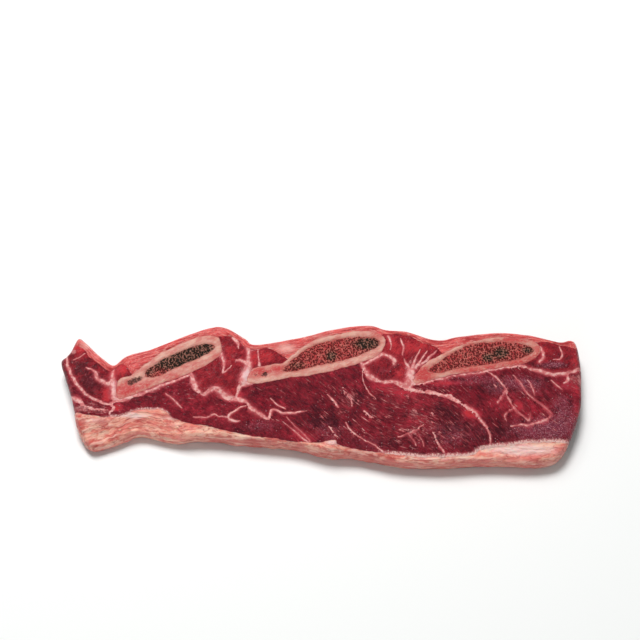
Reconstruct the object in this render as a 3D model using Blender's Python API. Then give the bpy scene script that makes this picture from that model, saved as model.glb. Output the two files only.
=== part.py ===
"""A slice of beef short ribs, sawn straight across three rib bones, lying on its flat lower cut.

Every tissue runs through the slice from the lower cut to the upper one: three flat rib bones
with a spongy core in each, the rib muscles between and beside them, the lean muscle under
them, the lining along the back edge and the fat cap along the front edge. Each is its own
closed solid. Plan sizes are in millimetres, x along the row of ribs and y towards the back.
"""

import math

import bmesh
import bpy
import numpy as np
from mathutils import Vector
from mathutils.geometry import delaunay_2d_cdt

for old in list(bpy.data.objects):
    bpy.data.objects.remove(old)

MM = 0.001

# Driving sizes, in mm
THICKNESS = 9.5  # between the two saw cuts
GAP = 0.3  # between neighbouring tissues
BORDER_STEP = 2.4  # spacing of points along every border
INSIDE_STEP = 3.0  # spacing of points inside a tissue
EDGE_RADIUS = 1.9  # rounding of the outer upper edge
FOOT_TUCK = 1.1  # how far the outer wall turns in at the lower cut
CREASE = 0.22  # how far a tissue's upper face dips at its border

# The slice's outline where its wall stands out furthest, round from the left tip
LEFT_END = [(-106.8, 13.0), (-104.4, 6.0), (-101.2, -2.5), (-98.8, -10.5), (-96.8, -17.5), (-91.5, -24.2)]
FRONT_EDGE = [
    (-83.0, -22.2), (-72.5, -18.3), (-59.0, -20.8), (-45.0, -20.4), (-26.0, -22.4), (-10.0, -24.2),
    (3.0, -27.4), (16.0, -28.4), (30.0, -31.5), (46.0, -32.4), (66.0, -31.4), (86.0, -31.7),
]
RIGHT_END = [(95.4, -28.6), (101.4, -18.5), (105.4, -7.5), (106.6, 1.5), (107.3, 9.5), (106.8, 21.0)]
BACK_EDGE = [
    (104.3, 23.6), (99.0, 22.9), (88.0, 25.9), (75.0, 27.4), (58.0, 25.6), (48.5, 24.0), (36.0, 27.9),
    (28.0, 28.8), (20.5, 31.0), (6.0, 29.2), (-9.0, 25.0), (-26.4, 21.5), (-31.5, 24.8), (-41.5, 30.3),
    (-54.0, 27.1), (-69.6, 19.6), (-79.5, 16.2), (-85.0, 12.4), (-90.3, 15.4), (-97.4, 22.4),
    (-100.9, 24.4), (-103.2, 18.6), (-104.9, 15.8),
]

# Each rib bone's outline, and its spongy core's, from the thin tail round the lower side
BONES = {
    "left": [
        (-81.5, -4.6), (-72.3, -1.2), (-64.3, 2.6), (-53.2, 7.4), (-45.0, 12.7), (-41.2, 16.2), (-40.7, 20.6),
        (-42.8, 24.8), (-49.8, 25.0), (-58.1, 21.5), (-65.5, 17.4), (-72.0, 11.5), (-77.0, 6.8), (-82.2, 3.6),
    ],
    "middle": [
        (-28.3, 2.6), (-11.4, 5.4), (0.0, 7.2), (16.9, 12.4), (24.2, 16.2), (27.0, 21.4), (25.2, 26.0),
        (18.0, 27.8), (4.4, 25.6), (-4.1, 22.2), (-10.0, 17.6), (-14.5, 12.9), (-21.9, 10.9), (-28.0, 9.0),
    ],
    "right": [
        (38.4, 2.6), (53.9, 6.6), (67.3, 8.7), (80.9, 11.2), (88.6, 14.3), (91.3, 18.6), (88.4, 22.5),
        (77.4, 24.4), (68.4, 23.8), (59.1, 21.0), (49.9, 15.9), (42.6, 11.0),
    ],
}
MARROWS = {
    "left": [
        (-71.8, 7.8), (-67.0, 12.2), (-61.0, 16.1), (-53.9, 19.8), (-47.3, 21.6), (-43.9, 20.2),
        (-46.0, 16.9), (-57.5, 10.7), (-64.5, 6.5), (-69.8, 5.0),
    ],
    "middle": [
        (-15.2, 9.2), (-8.3, 16.6), (-2.0, 21.0), (6.5, 23.5), (17.0, 24.9), (23.6, 23.8), (24.2, 20.2),
        (14.9, 15.2), (4.0, 12.1), (-6.2, 9.5), (-12.5, 7.7),
    ],
    "right": [
        (45.0, 9.6), (56.7, 18.2), (63.7, 21.3), (73.0, 22.4), (83.0, 21.5), (88.4, 18.6), (84.6, 14.8),
        (73.0, 12.2), (58.5, 9.9), (48.0, 7.5),
    ],
}

# Borders between two tissues: the loop that each starts on, its points, and the loop it ends on
BORDERS = {
    "fat_line": ("outline", [
        (-98.8, -10.5), (-85.3, -12.7), (-79.0, -11.4), (-72.5, -9.2), (-63.5, -9.4), (-57.0, -13.8),
        (-45.0, -16.2), (-27.2, -20.4), (-3.0, -23.6), (5.6, -22.8), (9.0, -25.4), (30.3, -28.9),
        (46.0, -30.0), (60.0, -29.1), (65.0, -26.4), (82.0, -24.2), (98.2, -23.8),
    ], "outline"),
    "rim_left": ("outline", [
        (-102.6, 20.6), (-98.6, 19.4), (-94.0, 14.2), (-87.0, 9.3), (-82.6, 11.4), (-79.6, 10.6), (-77.6, 7.4),
    ], "bone_left"),
    "rim_mid_left": ("bone_left", [
        (-42.5, 24.8), (-36.6, 24.8), (-30.4, 19.5), (-25.4, 18.4), (-20.6, 18.8), (-13.5, 14.2),
    ], "bone_middle"),
    "rim_mid_right": ("bone_middle", [
        (25.6, 25.6), (31.0, 26.1), (37.0, 25.0), (43.0, 21.7), (48.0, 19.8), (51.0, 16.6),
    ], "bone_right"),
    "rim_right": ("bone_right", [(89.4, 21.8), (94.6, 22.0), (100.4, 20.4), (107.0, 18.6)], "outline"),
    "seam_left": ("outline", [
        (-104.8, 15.8), (-103.2, 9.6), (-98.0, 0.6), (-92.0, -4.4), (-85.5, -7.1), (-81.6, -4.7),
    ], "bone_left"),
    "seam_mid_left": ("bone_left", [
        (-53.0, 7.5), (-51.2, 2.2), (-48.0, -2.6), (-43.0, -0.2), (-37.5, -4.0), (-34.0, -3.6), (-32.6, 1.2),
        (-28.4, 2.8),
    ], "bone_middle"),
    "seam_mid_right": ("bone_middle", [
        (16.8, 12.4), (19.4, 6.4), (25.0, 3.2), (30.2, 3.2), (34.2, 0.9), (38.4, 2.8),
    ], "bone_right"),
    "seam_right": ("bone_right", [(81.0, 11.2), (87.6, 8.8), (97.0, 6.7), (107.2, 9.2)], "outline"),
}

# One point inside each tissue, its colour, and its roughness
TISSUES = {
    "lean_muscle": ((0.0, -12.0), (0.19, 0.020, 0.030), 0.38),
    "rib_muscle_left_end": ((-94.0, 7.0), (0.17, 0.018, 0.028), 0.38),
    "rib_muscle_left": ((-38.0, 10.0), (0.29, 0.030, 0.042), 0.38),
    "rib_muscle_right": ((33.0, 16.0), (0.32, 0.026, 0.040), 0.38),
    "rib_muscle_right_end": ((98.0, 14.0), (0.23, 0.022, 0.036), 0.38),
    "bone_left": ((-77.0, 1.0), (0.62, 0.25, 0.20), 0.45),
    "bone_middle": ((-22.0, 7.0), (0.68, 0.28, 0.22), 0.45),
    "bone_right": ((42.0, 6.0), (0.62, 0.23, 0.19), 0.45),
    "marrow_left": ((-55.0, 16.0), (0.18, 0.060, 0.048), 0.60),
    "marrow_middle": ((5.0, 18.0), (0.27, 0.055, 0.048), 0.60),
    "marrow_right": ((68.0, 17.0), (0.25, 0.042, 0.040), 0.60),
    "rib_lining": ((-60.0, 22.2), (0.72, 0.21, 0.19), 0.35),
    "fat_cap": ((-86.0, -18.0), (0.74, 0.32, 0.28), 0.40),
}

# Swellings and hollows of the upper face: place, reach in x and y, and height
SWELLINGS = [
    ((-95.0, 5.0), (9.0, 8.0), 0.9),  # the end muscle stands full
    ((-85.5, 10.5), (3.4, 3.2), -1.8),  # the lining's fold beside it
    ((-80.5, 8.0), (3.0, 3.2), 0.9),
    ((-37.0, 6.0), (7.0, 8.0), 0.5),
    ((33.0, 15.0), (7.0, 7.0), 0.4),
    ((98.0, 15.0), (7.0, 6.0), 0.5),
    ((50.0, -12.0), (24.0, 9.0), 0.5),
    ((-20.0, -8.0), (20.0, 7.0), -0.4),
    ((-60.0, 0.0), (12.0, 5.0), 0.3),
    ((-88.0, -15.5), (7.0, 3.0), 0.8),  # the fat cap's thick lobe
    ((-70.0, -13.0), (6.0, 2.5), 0.5),
    ((5.0, -25.0), (4.0, 2.0), 0.8),  # a lump of fat on the front edge
]
FRONT_SLOPE = (15.0, 1.3)  # the upper face falls towards the front edge: over this width, by this much
LOBE_SLOPE = (11.0, 2.4)  # and further on the fat cap's lobe at the left
LOBE_ENDS = (-62.0, -52.0)  # where that further fall fades out, in x
BONE_RISE = 0.45  # bones stand proud, as the meat beside them shrinks
MARROW_SINK = 0.25


def smoothstep(t):
    t = np.clip(t, 0.0, 1.0)
    return t * t * (3.0 - 2.0 * t)


def spline(points, step, closed):
    """Points a step apart on a smooth curve through the given ones."""
    p = np.array(points, float)
    ends = (p[-1:], p[:2]) if closed else (2 * p[:1] - p[1:2], 2 * p[-1:] - p[-2:-1])
    p = np.concatenate([ends[0], p, ends[1]])
    t = np.linspace(0.0, 1.0, 24, endpoint=False)[:, None]
    dense = []
    for a, b, c, d in zip(p, p[1:], p[2:], p[3:]):
        dense.append(
            0.5 * (2 * b + (c - a) * t + (2 * a - 5 * b + 4 * c - d) * t**2 + (3 * b - a - 3 * c + d) * t**3)
        )
    dense = np.concatenate(dense + [p[1:2] if closed else p[-2:-1]])
    run = np.concatenate([[0.0], np.cumsum(np.linalg.norm(np.diff(dense, axis=0), axis=1))])
    count = max(3, round(run[-1] / step))
    at = np.linspace(0.0, run[-1], count + 1)
    curve = np.stack([np.interp(at, run, dense[:, k]) for k in (0, 1)], axis=1)
    return curve[:-1] if closed else curve


def distance_to(points, curve, closed=True):
    """The distance of each point to a polyline."""
    ends = np.roll(curve, -1, axis=0) if closed else curve[1:]
    starts = curve if closed else curve[:-1]
    least = np.full(len(points), np.inf)
    for a, b in zip(starts, ends):
        along = b - a
        t = np.clip((points - a) @ along / max(along @ along, 1e-12), 0.0, 1.0)
        off = points - a - t[:, None] * along
        least = np.minimum(least, (off * off).sum(axis=1))
    return np.sqrt(least)


def inside(points, loop):
    """True for each point inside a closed polyline."""
    found = np.zeros(len(points), bool)
    x, y = points[:, 0], points[:, 1]
    for (x0, y0), (x1, y1) in zip(loop, np.roll(loop, -1, axis=0)):
        if y0 != y1:
            found ^= ((y0 > y) != (y1 > y)) & (x < (x1 - x0) * (y - y0) / (y1 - y0) + x0)
    return found


def inset(loop, by):
    """A closed polyline moved to its left side by a distance, with mitred corners."""
    back = loop - np.roll(loop, 1, axis=0)
    on = np.roll(loop, -1, axis=0) - loop
    left = [np.stack([-v[:, 1], v[:, 0]], axis=1) / np.linalg.norm(v, axis=1)[:, None] for v in (back, on)]
    both = left[0] + left[1]
    miter = both / np.maximum((both * both).sum(axis=1) / 2.0, 0.35)[:, None]
    return loop + by * miter


# The plan: closed loops, and the borders that join them at their nearest points
outline = spline(LEFT_END + FRONT_EDGE + RIGHT_END + BACK_EDGE, BORDER_STEP, True)
middle = (outline.min(axis=0) + outline.max(axis=0)) / 2.0  # the part's origin in the plan
loops = {"outline": outline}
for side in BONES:
    loops["bone_" + side] = spline(BONES[side], BORDER_STEP, True)
    loops["marrow_" + side] = spline(MARROWS[side], BORDER_STEP, True)

plan_points, plan_edges, loop_start = [], [], {}
for name, loop in loops.items():
    first = len(plan_points)
    loop_start[name] = first
    plan_points += [tuple(p) for p in loop]
    plan_edges += [(first + i, first + (i + 1) % len(loop)) for i in range(len(loop))]
for start, points, end in BORDERS.values():
    curve = spline(points, BORDER_STEP, False)
    ends = []
    for place, name in ((curve[0], start), (curve[-1], end)):
        nearest = np.linalg.norm(loops[name] - place, axis=1).argmin()
        ends.append(loop_start[name] + int(nearest))
    first = len(plan_points)
    plan_points += [tuple(p) for p in curve[1:-1]]
    chain = [ends[0], *range(first, len(plan_points)), ends[1]]
    plan_edges += list(zip(chain, chain[1:]))
plan_points = np.array(plan_points)


def inside_points():
    """Points to carry the upper face: rows along the rounded outer edge, and a triangular lattice."""
    found = []
    for depth in (0.3 * EDGE_RADIUS, EDGE_RADIUS):
        found.append(inset(outline, depth)[:: 1 if depth < EDGE_RADIUS else 2])
    rows = []
    for row, y in enumerate(np.arange(outline[:, 1].min(), outline[:, 1].max(), INSIDE_STEP * math.sqrt(0.75))):
        x = np.arange(outline[:, 0].min(), outline[:, 0].max(), INSIDE_STEP) + (row % 2) * INSIDE_STEP / 2
        rows.append(np.stack([x, np.full_like(x, y)], axis=1))
    lattice = np.concatenate(rows)
    deep = inside(lattice, outline) & (distance_to(lattice, outline) > EDGE_RADIUS + 0.45 * INSIDE_STEP)
    found.append(lattice[deep])
    found = np.concatenate(found)
    clear = np.full(len(found), np.inf)
    for a, b in plan_edges[len(outline) :]:
        clear = np.minimum(clear, distance_to(found, plan_points[[a, b]], closed=False))
    at_edge = np.arange(len(found)) < len(found) - deep.sum()
    return found[clear > np.where(at_edge, 0.9, 0.45 * INSIDE_STEP)]


def triangulate(extra):
    """(points, triangles turning left, each triangle's tissue) of the whole plan."""
    points = np.concatenate([plan_points, extra])
    made = delaunay_2d_cdt([Vector(p) for p in points], plan_edges, [], 0, 1e-6)
    verts = np.array([tuple(v) for v in made[0]])
    faces = np.array(made[2])
    walls = {tuple(sorted(e)) for e, came in zip(made[1], made[4]) if came}
    beside = {}
    for i, face in enumerate(faces):
        for a, b in zip(face, np.roll(face, -1)):
            beside.setdefault(tuple(sorted((a, b))), []).append(i)
    middles = verts[faces].mean(axis=1)
    tissue = [None] * len(faces)
    for name, (seed, _, _) in TISSUES.items():
        todo = [int(np.linalg.norm(middles - seed, axis=1).argmin())]
        while todo:
            i = todo.pop()
            if tissue[i] is None:
                tissue[i] = name
                for a, b in zip(faces[i], np.roll(faces[i], -1)):
                    edge = tuple(sorted((a, b)))
                    if edge not in walls:
                        todo += beside[edge]
    return verts, faces, np.array(tissue, dtype=object)


def upper_face(points):
    """The height of the upper cut at each plan point, in mm."""
    x, y = points[:, 0], points[:, 1]
    z = np.full(len(points), THICKNESS)
    for (cx, cy), (rx, ry), height in SWELLINGS:
        z += height * np.exp(-(((x - cx) / rx) ** 2) - ((y - cy) / ry) ** 2)
    z += 0.22 * np.sin(x / 9.0 + 0.06 * y) * np.cos(y / 7.0 + 0.4) + 0.12 * np.sin(x / 4.3 - y / 3.6)
    front = spline(FRONT_EDGE, BORDER_STEP, False)
    ahead = y - np.interp(x, front[:, 0], front[:, 1])
    z -= FRONT_SLOPE[1] * smoothstep(1.0 - ahead / FRONT_SLOPE[0])
    lobe = smoothstep((LOBE_ENDS[1] - x) / (LOBE_ENDS[1] - LOBE_ENDS[0]))
    z -= LOBE_SLOPE[1] * lobe * smoothstep(1.0 - ahead / LOBE_SLOPE[0]) ** 1.5
    edge = np.clip(distance_to(points, outline) / EDGE_RADIUS, 0.0, 1.0)
    return z - EDGE_RADIUS * (1.0 - np.sqrt(1.0 - (1.0 - edge) ** 2))


def border_loops(faces):
    """The region's border as loops of point numbers, with the region on the left."""
    directed = {(int(a), int(b)) for face in faces for a, b in zip(face, np.roll(face, -1))}
    follow = {a: b for a, b in directed if (b, a) not in directed}
    found = []
    while follow:
        start, here = next(iter(follow.items()))
        loop = [start]
        del follow[start]
        while here != start:
            loop.append(here)
            here = follow.pop(here)
        found.append(loop)
    return found


def material(name, colour, roughness):
    made = bpy.data.materials.new(name)
    made.use_nodes = True
    shader = made.node_tree.nodes["Principled BSDF"]
    shader.inputs["Base Color"].default_value = (*colour, 1.0)
    shader.inputs["Roughness"].default_value = roughness
    shader.inputs["Metallic"].default_value = 0.0
    made.diffuse_color = (*colour, 1.0)
    return made


def build_tissue(name, top, bottom):
    """One tissue as a closed solid: its upper cut, its wall and its flat lower cut."""
    verts, faces, tissue = top
    faces = faces[tissue == name]
    used = np.unique(faces)
    place = verts[used].copy()
    number = {int(v): i for i, v in enumerate(used)}
    loops_here = border_loops(faces)
    for loop in loops_here:
        at = [number[v] for v in loop]
        place[at] = inset(verts[loop], GAP / 2)
    z = upper_face(place)
    on_border = np.array(sorted(number[v] for loop in loops_here for v in loop))
    z[on_border] -= CREASE
    if name.startswith("bone"):
        z += BONE_RISE
    if name.startswith("marrow"):
        z -= MARROW_SINK

    mesh = bmesh.new()

    def vertex(place_mm, height_mm):
        x, y = (place_mm - middle) * MM
        return mesh.verts.new((x, y, height_mm * MM))

    upper = [vertex(p, h) for p, h in zip(place, z)]
    for face in faces:
        mesh.faces.new([upper[number[int(v)]] for v in face])

    inward = inset(outline, 1.0) - outline
    lower = {}
    for loop in loops_here:
        at = [number[v] for v in loop]
        touching = np.linalg.norm(verts[loop][:, None] - outline[None], axis=2)
        outer = touching.min(axis=1) < 1e-4
        turn = inward[touching.argmin(axis=1)] * outer[:, None]
        rings = [[upper[i] for i in at]]
        for share, tuck in ((0.55, 0.0), (0.22, 0.3), (0.0, 1.0)) if outer.any() else ((0.0, 0.0),):
            xy = place[at] + turn * (FOOT_TUCK * tuck)
            rings.append([vertex(p, z[i] * share) for p, i in zip(xy, at)])
        for above, below in zip(rings, rings[1:]):
            for i in range(len(at)):
                j = (i + 1) % len(at)
                mesh.faces.new([above[i], below[i], below[j], above[j]])
        for p, v in zip(verts[loop], rings[-1]):
            lower[tuple(np.round(p, 4))] = v
    flat_verts, flat_faces, flat_tissue = bottom
    for face in flat_faces[flat_tissue == name]:
        mesh.faces.new([lower[tuple(np.round(flat_verts[v], 4))] for v in face[::-1]])
    bmesh.ops.triangulate(mesh, faces=mesh.faces[:])
    data = bpy.data.meshes.new(name)
    mesh.to_mesh(data)
    mesh.free()
    data.shade_smooth()
    data.set_sharp_from_angle(angle=math.radians(50))
    made = bpy.data.objects.new(name, data)
    _, colour, roughness = TISSUES[name]
    data.materials.append(material(name, colour, roughness))
    bpy.context.scene.collection.objects.link(made)


top_plan = triangulate(inside_points())
bottom_plan = triangulate(np.zeros((0, 2)))
for tissue_name in TISSUES:
    build_tissue(tissue_name, top_plan, bottom_plan)
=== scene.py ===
import math

import bpy
import numpy as np
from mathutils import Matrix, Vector
from mathutils.geometry import delaunay_2d_cdt
from mathutils.kdtree import KDTree


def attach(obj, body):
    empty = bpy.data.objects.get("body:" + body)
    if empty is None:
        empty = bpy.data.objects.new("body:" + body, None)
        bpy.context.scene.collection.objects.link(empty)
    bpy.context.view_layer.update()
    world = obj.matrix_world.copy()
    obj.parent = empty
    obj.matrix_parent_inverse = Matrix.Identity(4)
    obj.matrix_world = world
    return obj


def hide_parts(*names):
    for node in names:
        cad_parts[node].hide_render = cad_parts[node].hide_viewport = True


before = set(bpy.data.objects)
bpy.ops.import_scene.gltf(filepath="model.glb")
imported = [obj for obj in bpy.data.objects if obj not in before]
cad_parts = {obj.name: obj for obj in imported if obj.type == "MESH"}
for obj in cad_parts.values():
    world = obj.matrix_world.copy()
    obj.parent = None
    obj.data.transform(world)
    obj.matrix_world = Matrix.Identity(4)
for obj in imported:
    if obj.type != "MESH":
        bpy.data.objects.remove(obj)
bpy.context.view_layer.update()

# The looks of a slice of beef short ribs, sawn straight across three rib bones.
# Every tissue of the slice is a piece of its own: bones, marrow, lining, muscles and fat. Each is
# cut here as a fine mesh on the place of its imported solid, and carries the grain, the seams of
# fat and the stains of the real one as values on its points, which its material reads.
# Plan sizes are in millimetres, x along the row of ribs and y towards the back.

MM = 0.001

# The table, the light and the camera
# A white table under a large soft lamp behind the slice and a weaker one at the left front.
# The camera looks down at 58 degrees from the fat cap's side, and the slice lies low in its view.
MIDDLE = np.array([0.254, -0.701])  # the part's origin in the plan that all points here use
CAMERA_TILT = math.radians(58.0)
CAMERA_FAR = 523.0
LOOKS_AT = (0.0, 33.0, 9.5)


def in_scene(x, y, z):
    return Vector(((x - MIDDLE[0]) * MM, (y - MIDDLE[1]) * MM, z * MM))


def soft_lamp(name, place, size, watts, colour, mirrored=True):
    """A round lamp aimed at the slice; wet surfaces don't mirror it where mirrored is False."""
    lamp = bpy.data.lights.new(name, "AREA")
    lamp.shape = "DISK"
    lamp.size = size
    lamp.energy = watts
    lamp.color = colour
    made = bpy.data.objects.new(name, lamp)
    made.location = place
    made.rotation_euler = (-Vector(place)).to_track_quat("-Z", "Y").to_euler()
    made.visible_glossy = mirrored
    bpy.context.scene.collection.objects.link(made)


camera = bpy.data.objects.new("camera", bpy.data.cameras.new("camera"))
camera.data.lens = 70.0
camera.data.sensor_width = 36.0
camera.data.clip_start = 0.01
away = Vector((0.0, -math.cos(CAMERA_TILT), math.sin(CAMERA_TILT)))
camera.location = in_scene(*LOOKS_AT) + away * CAMERA_FAR * MM
camera.rotation_euler = (math.pi / 2.0 - CAMERA_TILT, 0.0, 0.0)
bpy.context.scene.collection.objects.link(camera)
bpy.context.scene.camera = camera

soft_lamp("lamp_behind", (-0.12, 0.42, 0.95), 0.45, 10.4, (1.0, 0.99, 0.98), False)
soft_lamp("lamp_front", (-0.25, -1.00, 0.27), 0.50, 2.2, (1.0, 1.0, 1.0))
soft_lamp("lamp_glint", (-0.30, 0.55, 0.70), 0.16, 0.9, (1.0, 1.0, 1.0))
world = bpy.data.worlds.new("studio")
world.use_nodes = True
world.node_tree.nodes["Background"].inputs["Color"].default_value = (0.90, 1.0, 0.97, 1.0)
world.node_tree.nodes["Background"].inputs["Strength"].default_value = 0.22
bpy.context.scene.world = world
bpy.context.scene.view_settings.view_transform = "Standard"

TABLE_HALF = 4.0  # in metres
TABLE_TOP = -0.0002  # just under the slice
corners = [(x * TABLE_HALF, y * TABLE_HALF, TABLE_TOP) for x, y in ((-1, -1), (1, -1), (1, 1), (-1, 1))]
table_mesh = bpy.data.meshes.new("table")
table_mesh.from_pydata(corners, [], [(0, 1, 2, 3)])
table = bpy.data.objects.new("table", table_mesh)
bpy.context.scene.collection.objects.link(table)
white = bpy.data.materials.new("white_table")
white.use_nodes = True
white.node_tree.nodes["Principled BSDF"].inputs["Base Color"].default_value = (0.93, 0.93, 0.93, 1.0)
white.node_tree.nodes["Principled BSDF"].inputs["Roughness"].default_value = 0.7
table_mesh.materials.append(white)

# The slab that the saw leaves
# Two parallel saw cuts 9.5 mm apart. The upper cut has eased: muscles stand full, the front edge
# slopes down under the fat, and the outer edge is rounded and tucks in above the table.
THICKNESS = 9.5
EDGE_RADIUS = 1.9  # of the rounding where the upper cut meets the outer wall
FOOT_TUCK = 1.1  # how far the outer wall has drawn in at the table
FOOT_CURVE = 4.5  # how suddenly it draws in
STEP = 0.42  # between the points of the upper cut, and finer in the tissues of these
BONE_STEP, MARROW_STEP, LINING_STEP, RIB_MUSCLE_STEP, FAT_STEP = 0.40, 0.20, 0.36, 0.36, 0.38
EDGE_ROWS = (0.10, 0.32)  # further points in rows just inside the outer edge, where it turns fastest
EDGE_CLEAR = 0.75  # how far from the outer edge the other points stay
WALL_ROWS = 16  # down the outer wall
UNDER_COARSER = 2.6  # how much wider apart the underside's points are
SHARP_ANGLE = math.radians(62.0)  # the inner walls' edges, not the rounded outer one
LEFT_END = [(-106.8, 13), (-104.4, 6), (-101.2, -2.5), (-98.8, -10.5), (-96.8, -17.5), (-91.5, -24.2)]
FRONT_EDGE = [
    (-83, -22.2), (-72.5, -18.3), (-59, -20.8), (-45, -20.4), (-26, -22.4), (-10, -24.2), (3, -27.4),
    (16, -28.4), (30, -31.5), (46, -32.4), (66, -31.4), (86, -31.7),
]
RIGHT_END = [(95.4, -28.6), (101.4, -18.5), (105.4, -7.5), (106.6, 1.5), (107.3, 9.5), (106.8, 21)]
BACK_EDGE = [
    (104.3, 23.6), (99, 22.9), (88, 25.9), (75, 27.4), (58, 25.6), (48.5, 24), (36, 27.9), (28, 28.8),
    (20.5, 31), (6, 29.2), (-9, 25), (-26.4, 21.5), (-31.5, 24.8), (-41.5, 30.3), (-54, 27.1),
    (-69.6, 19.6), (-79.5, 16.2), (-85, 12.4), (-90.3, 15.4), (-97.4, 22.4), (-100.9, 24.4),
    (-103.2, 18.6), (-104.9, 15.8),
]
SWELLINGS = [
    ((-95, 5), (9, 8), 0.9), ((-85.5, 10.5), (3.4, 3.2), -1.8), ((-80.5, 8), (3, 3.2), 0.9),
    ((-37, 6), (7, 8), 0.5), ((33, 15), (7, 7), 0.4), ((98, 15), (7, 6), 0.5), ((50, -12), (24, 9), 0.5),
    ((-20, -8), (20, 7), -0.4), ((-60, 0), (12, 5), 0.3), ((-88, -15.5), (7, 3), 0.8),
    ((-70, -13), (6, 2.5), 0.5), ((5, -25), (4, 2), 0.8),
]
FRONT_SLOPE = (15.0, 1.3)  # how far in from the front edge the slope begins, and its fall
LOBE_SLOPE = (11.0, 2.4)  # the same at the lobe of fat, which ends in x between these two
LOBE_ENDS = (-62.0, -52.0)


def smoothstep(t):
    t = np.clip(t, 0.0, 1.0)
    return t * t * (3.0 - 2.0 * t)


def run_along(curve):
    """How far along a curve each of its points lies."""
    return np.concatenate([[0.0], np.cumsum(np.linalg.norm(np.diff(curve[:, :2], axis=0), axis=1))])


def nearest_number(curve, place):
    """The number of the curve's point that is nearest a place."""
    return int(np.linalg.norm(curve - place, axis=1).argmin())


def smooth_curve(points, step=STEP, closed=False):
    """Points a step apart on a smooth curve through the given ones; further columns follow along."""
    p = np.array(points, float)
    ends = (p[-1:], p[:2]) if closed else (2 * p[:1] - p[1:2], 2 * p[-1:] - p[-2:-1])
    p = np.concatenate([ends[0], p, ends[1]])
    t = np.linspace(0.0, 1.0, 60, endpoint=False)[:, None]
    dense = [
        0.5 * (2 * b + (c - a) * t + (2 * a - 5 * b + 4 * c - d) * t**2 + (3 * b - a - 3 * c + d) * t**3)
        for a, b, c, d in zip(p, p[1:], p[2:], p[3:])
    ]
    dense = np.concatenate(dense + [p[1:2] if closed else p[-2:-1]])
    run = run_along(dense)
    at = np.linspace(0.0, run[-1], max(3, round(run[-1] / step)) + 1)
    curve = np.stack([np.interp(at, run, column) for column in dense.T], axis=1)
    return curve[:-1] if closed else curve


def hills(x, y, size, seed):
    """Smooth random hills between -1 and 1, about size mm across."""
    table = np.random.default_rng(seed).uniform(-1.0, 1.0, (256, 256))
    turn = 0.7 + seed
    u = (x * math.cos(turn) - y * math.sin(turn)) / size + 500.0
    v = (x * math.sin(turn) + y * math.cos(turn)) / size + 500.0
    i, j = np.floor(u).astype(int), np.floor(v).astype(int)
    s, t = smoothstep(u - i), smoothstep(v - j)
    low = table[i % 256, j % 256] * (1 - s) + table[(i + 1) % 256, j % 256] * s
    high = table[i % 256, (j + 1) % 256] * (1 - s) + table[(i + 1) % 256, (j + 1) % 256] * s
    return low * (1 - t) + high * t


def natural_curve(points, step=STEP, closed=False, amount=1.0):
    """A smooth curve that wanders a little, the same way wherever curves share a place."""
    curve = smooth_curve(points, step, closed)
    x, y = curve[:, 0].copy(), curve[:, 1].copy()
    curve[:, 0] += amount * (0.30 * hills(x, y, 2.4, 1) + 0.13 * hills(x, y, 0.9, 2))
    curve[:, 1] += amount * (0.30 * hills(x, y, 2.2, 3) + 0.13 * hills(x, y, 0.9, 4))
    return curve


def patches(x, y, places):
    """The sum of soft round patches, each given as its place, reach in x and y, and strength."""
    total = np.zeros_like(x)
    for px, py, rx, ry, strength in places:
        total += strength * np.exp(-(((x - px) / rx) ** 2) - ((y - py) / ry) ** 2)
    return total


class Nearest:
    """Finds how far points are from some curves, and which of the curves' values is nearest."""

    def __init__(self, curves, closed=True):
        samples = []
        for curve in curves:
            ends = np.roll(curve, -1, axis=0) if closed else curve[1:]
            starts = curve if closed else curve[:-1]
            samples += [starts + (ends - starts) * share for share in (0.0, 0.25, 0.5, 0.75)]
            samples.append(curve[-1:])
        self.samples = np.concatenate(samples)
        self.tree = KDTree(len(self.samples))
        for i, sample in enumerate(self.samples):
            self.tree.insert((sample[0], sample[1], 0.0), i)
        self.tree.balance()

    def __call__(self, points):
        found = [self.tree.find((p[0], p[1], 0.0)) for p in points]
        return np.array([f[2] for f in found]), self.samples[[f[1] for f in found]]


outline = smooth_curve(LEFT_END + FRONT_EDGE + RIGHT_END + BACK_EDGE, closed=True)
front = smooth_curve(FRONT_EDGE)
from_outline = Nearest([outline])


def upper_cut(x, y):
    """The height of the upper cut, without the rounding of its outer edge."""
    swell = [(px, py, rx, ry, height) for (px, py), (rx, ry), height in SWELLINGS]
    z = THICKNESS + patches(x, y, swell)
    z += 0.22 * np.sin(x / 9.0 + 0.06 * y) * np.cos(y / 7.0 + 0.4) + 0.12 * np.sin(x / 4.3 - y / 3.6)
    ahead = y - np.interp(x, front[:, 0], front[:, 1])
    z -= FRONT_SLOPE[1] * smoothstep(1.0 - ahead / FRONT_SLOPE[0])
    lobe = smoothstep((LOBE_ENDS[1] - x) / (LOBE_ENDS[1] - LOBE_ENDS[0]))
    return z - LOBE_SLOPE[1] * lobe * smoothstep(1.0 - ahead / LOBE_SLOPE[0]) ** 1.5


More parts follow.
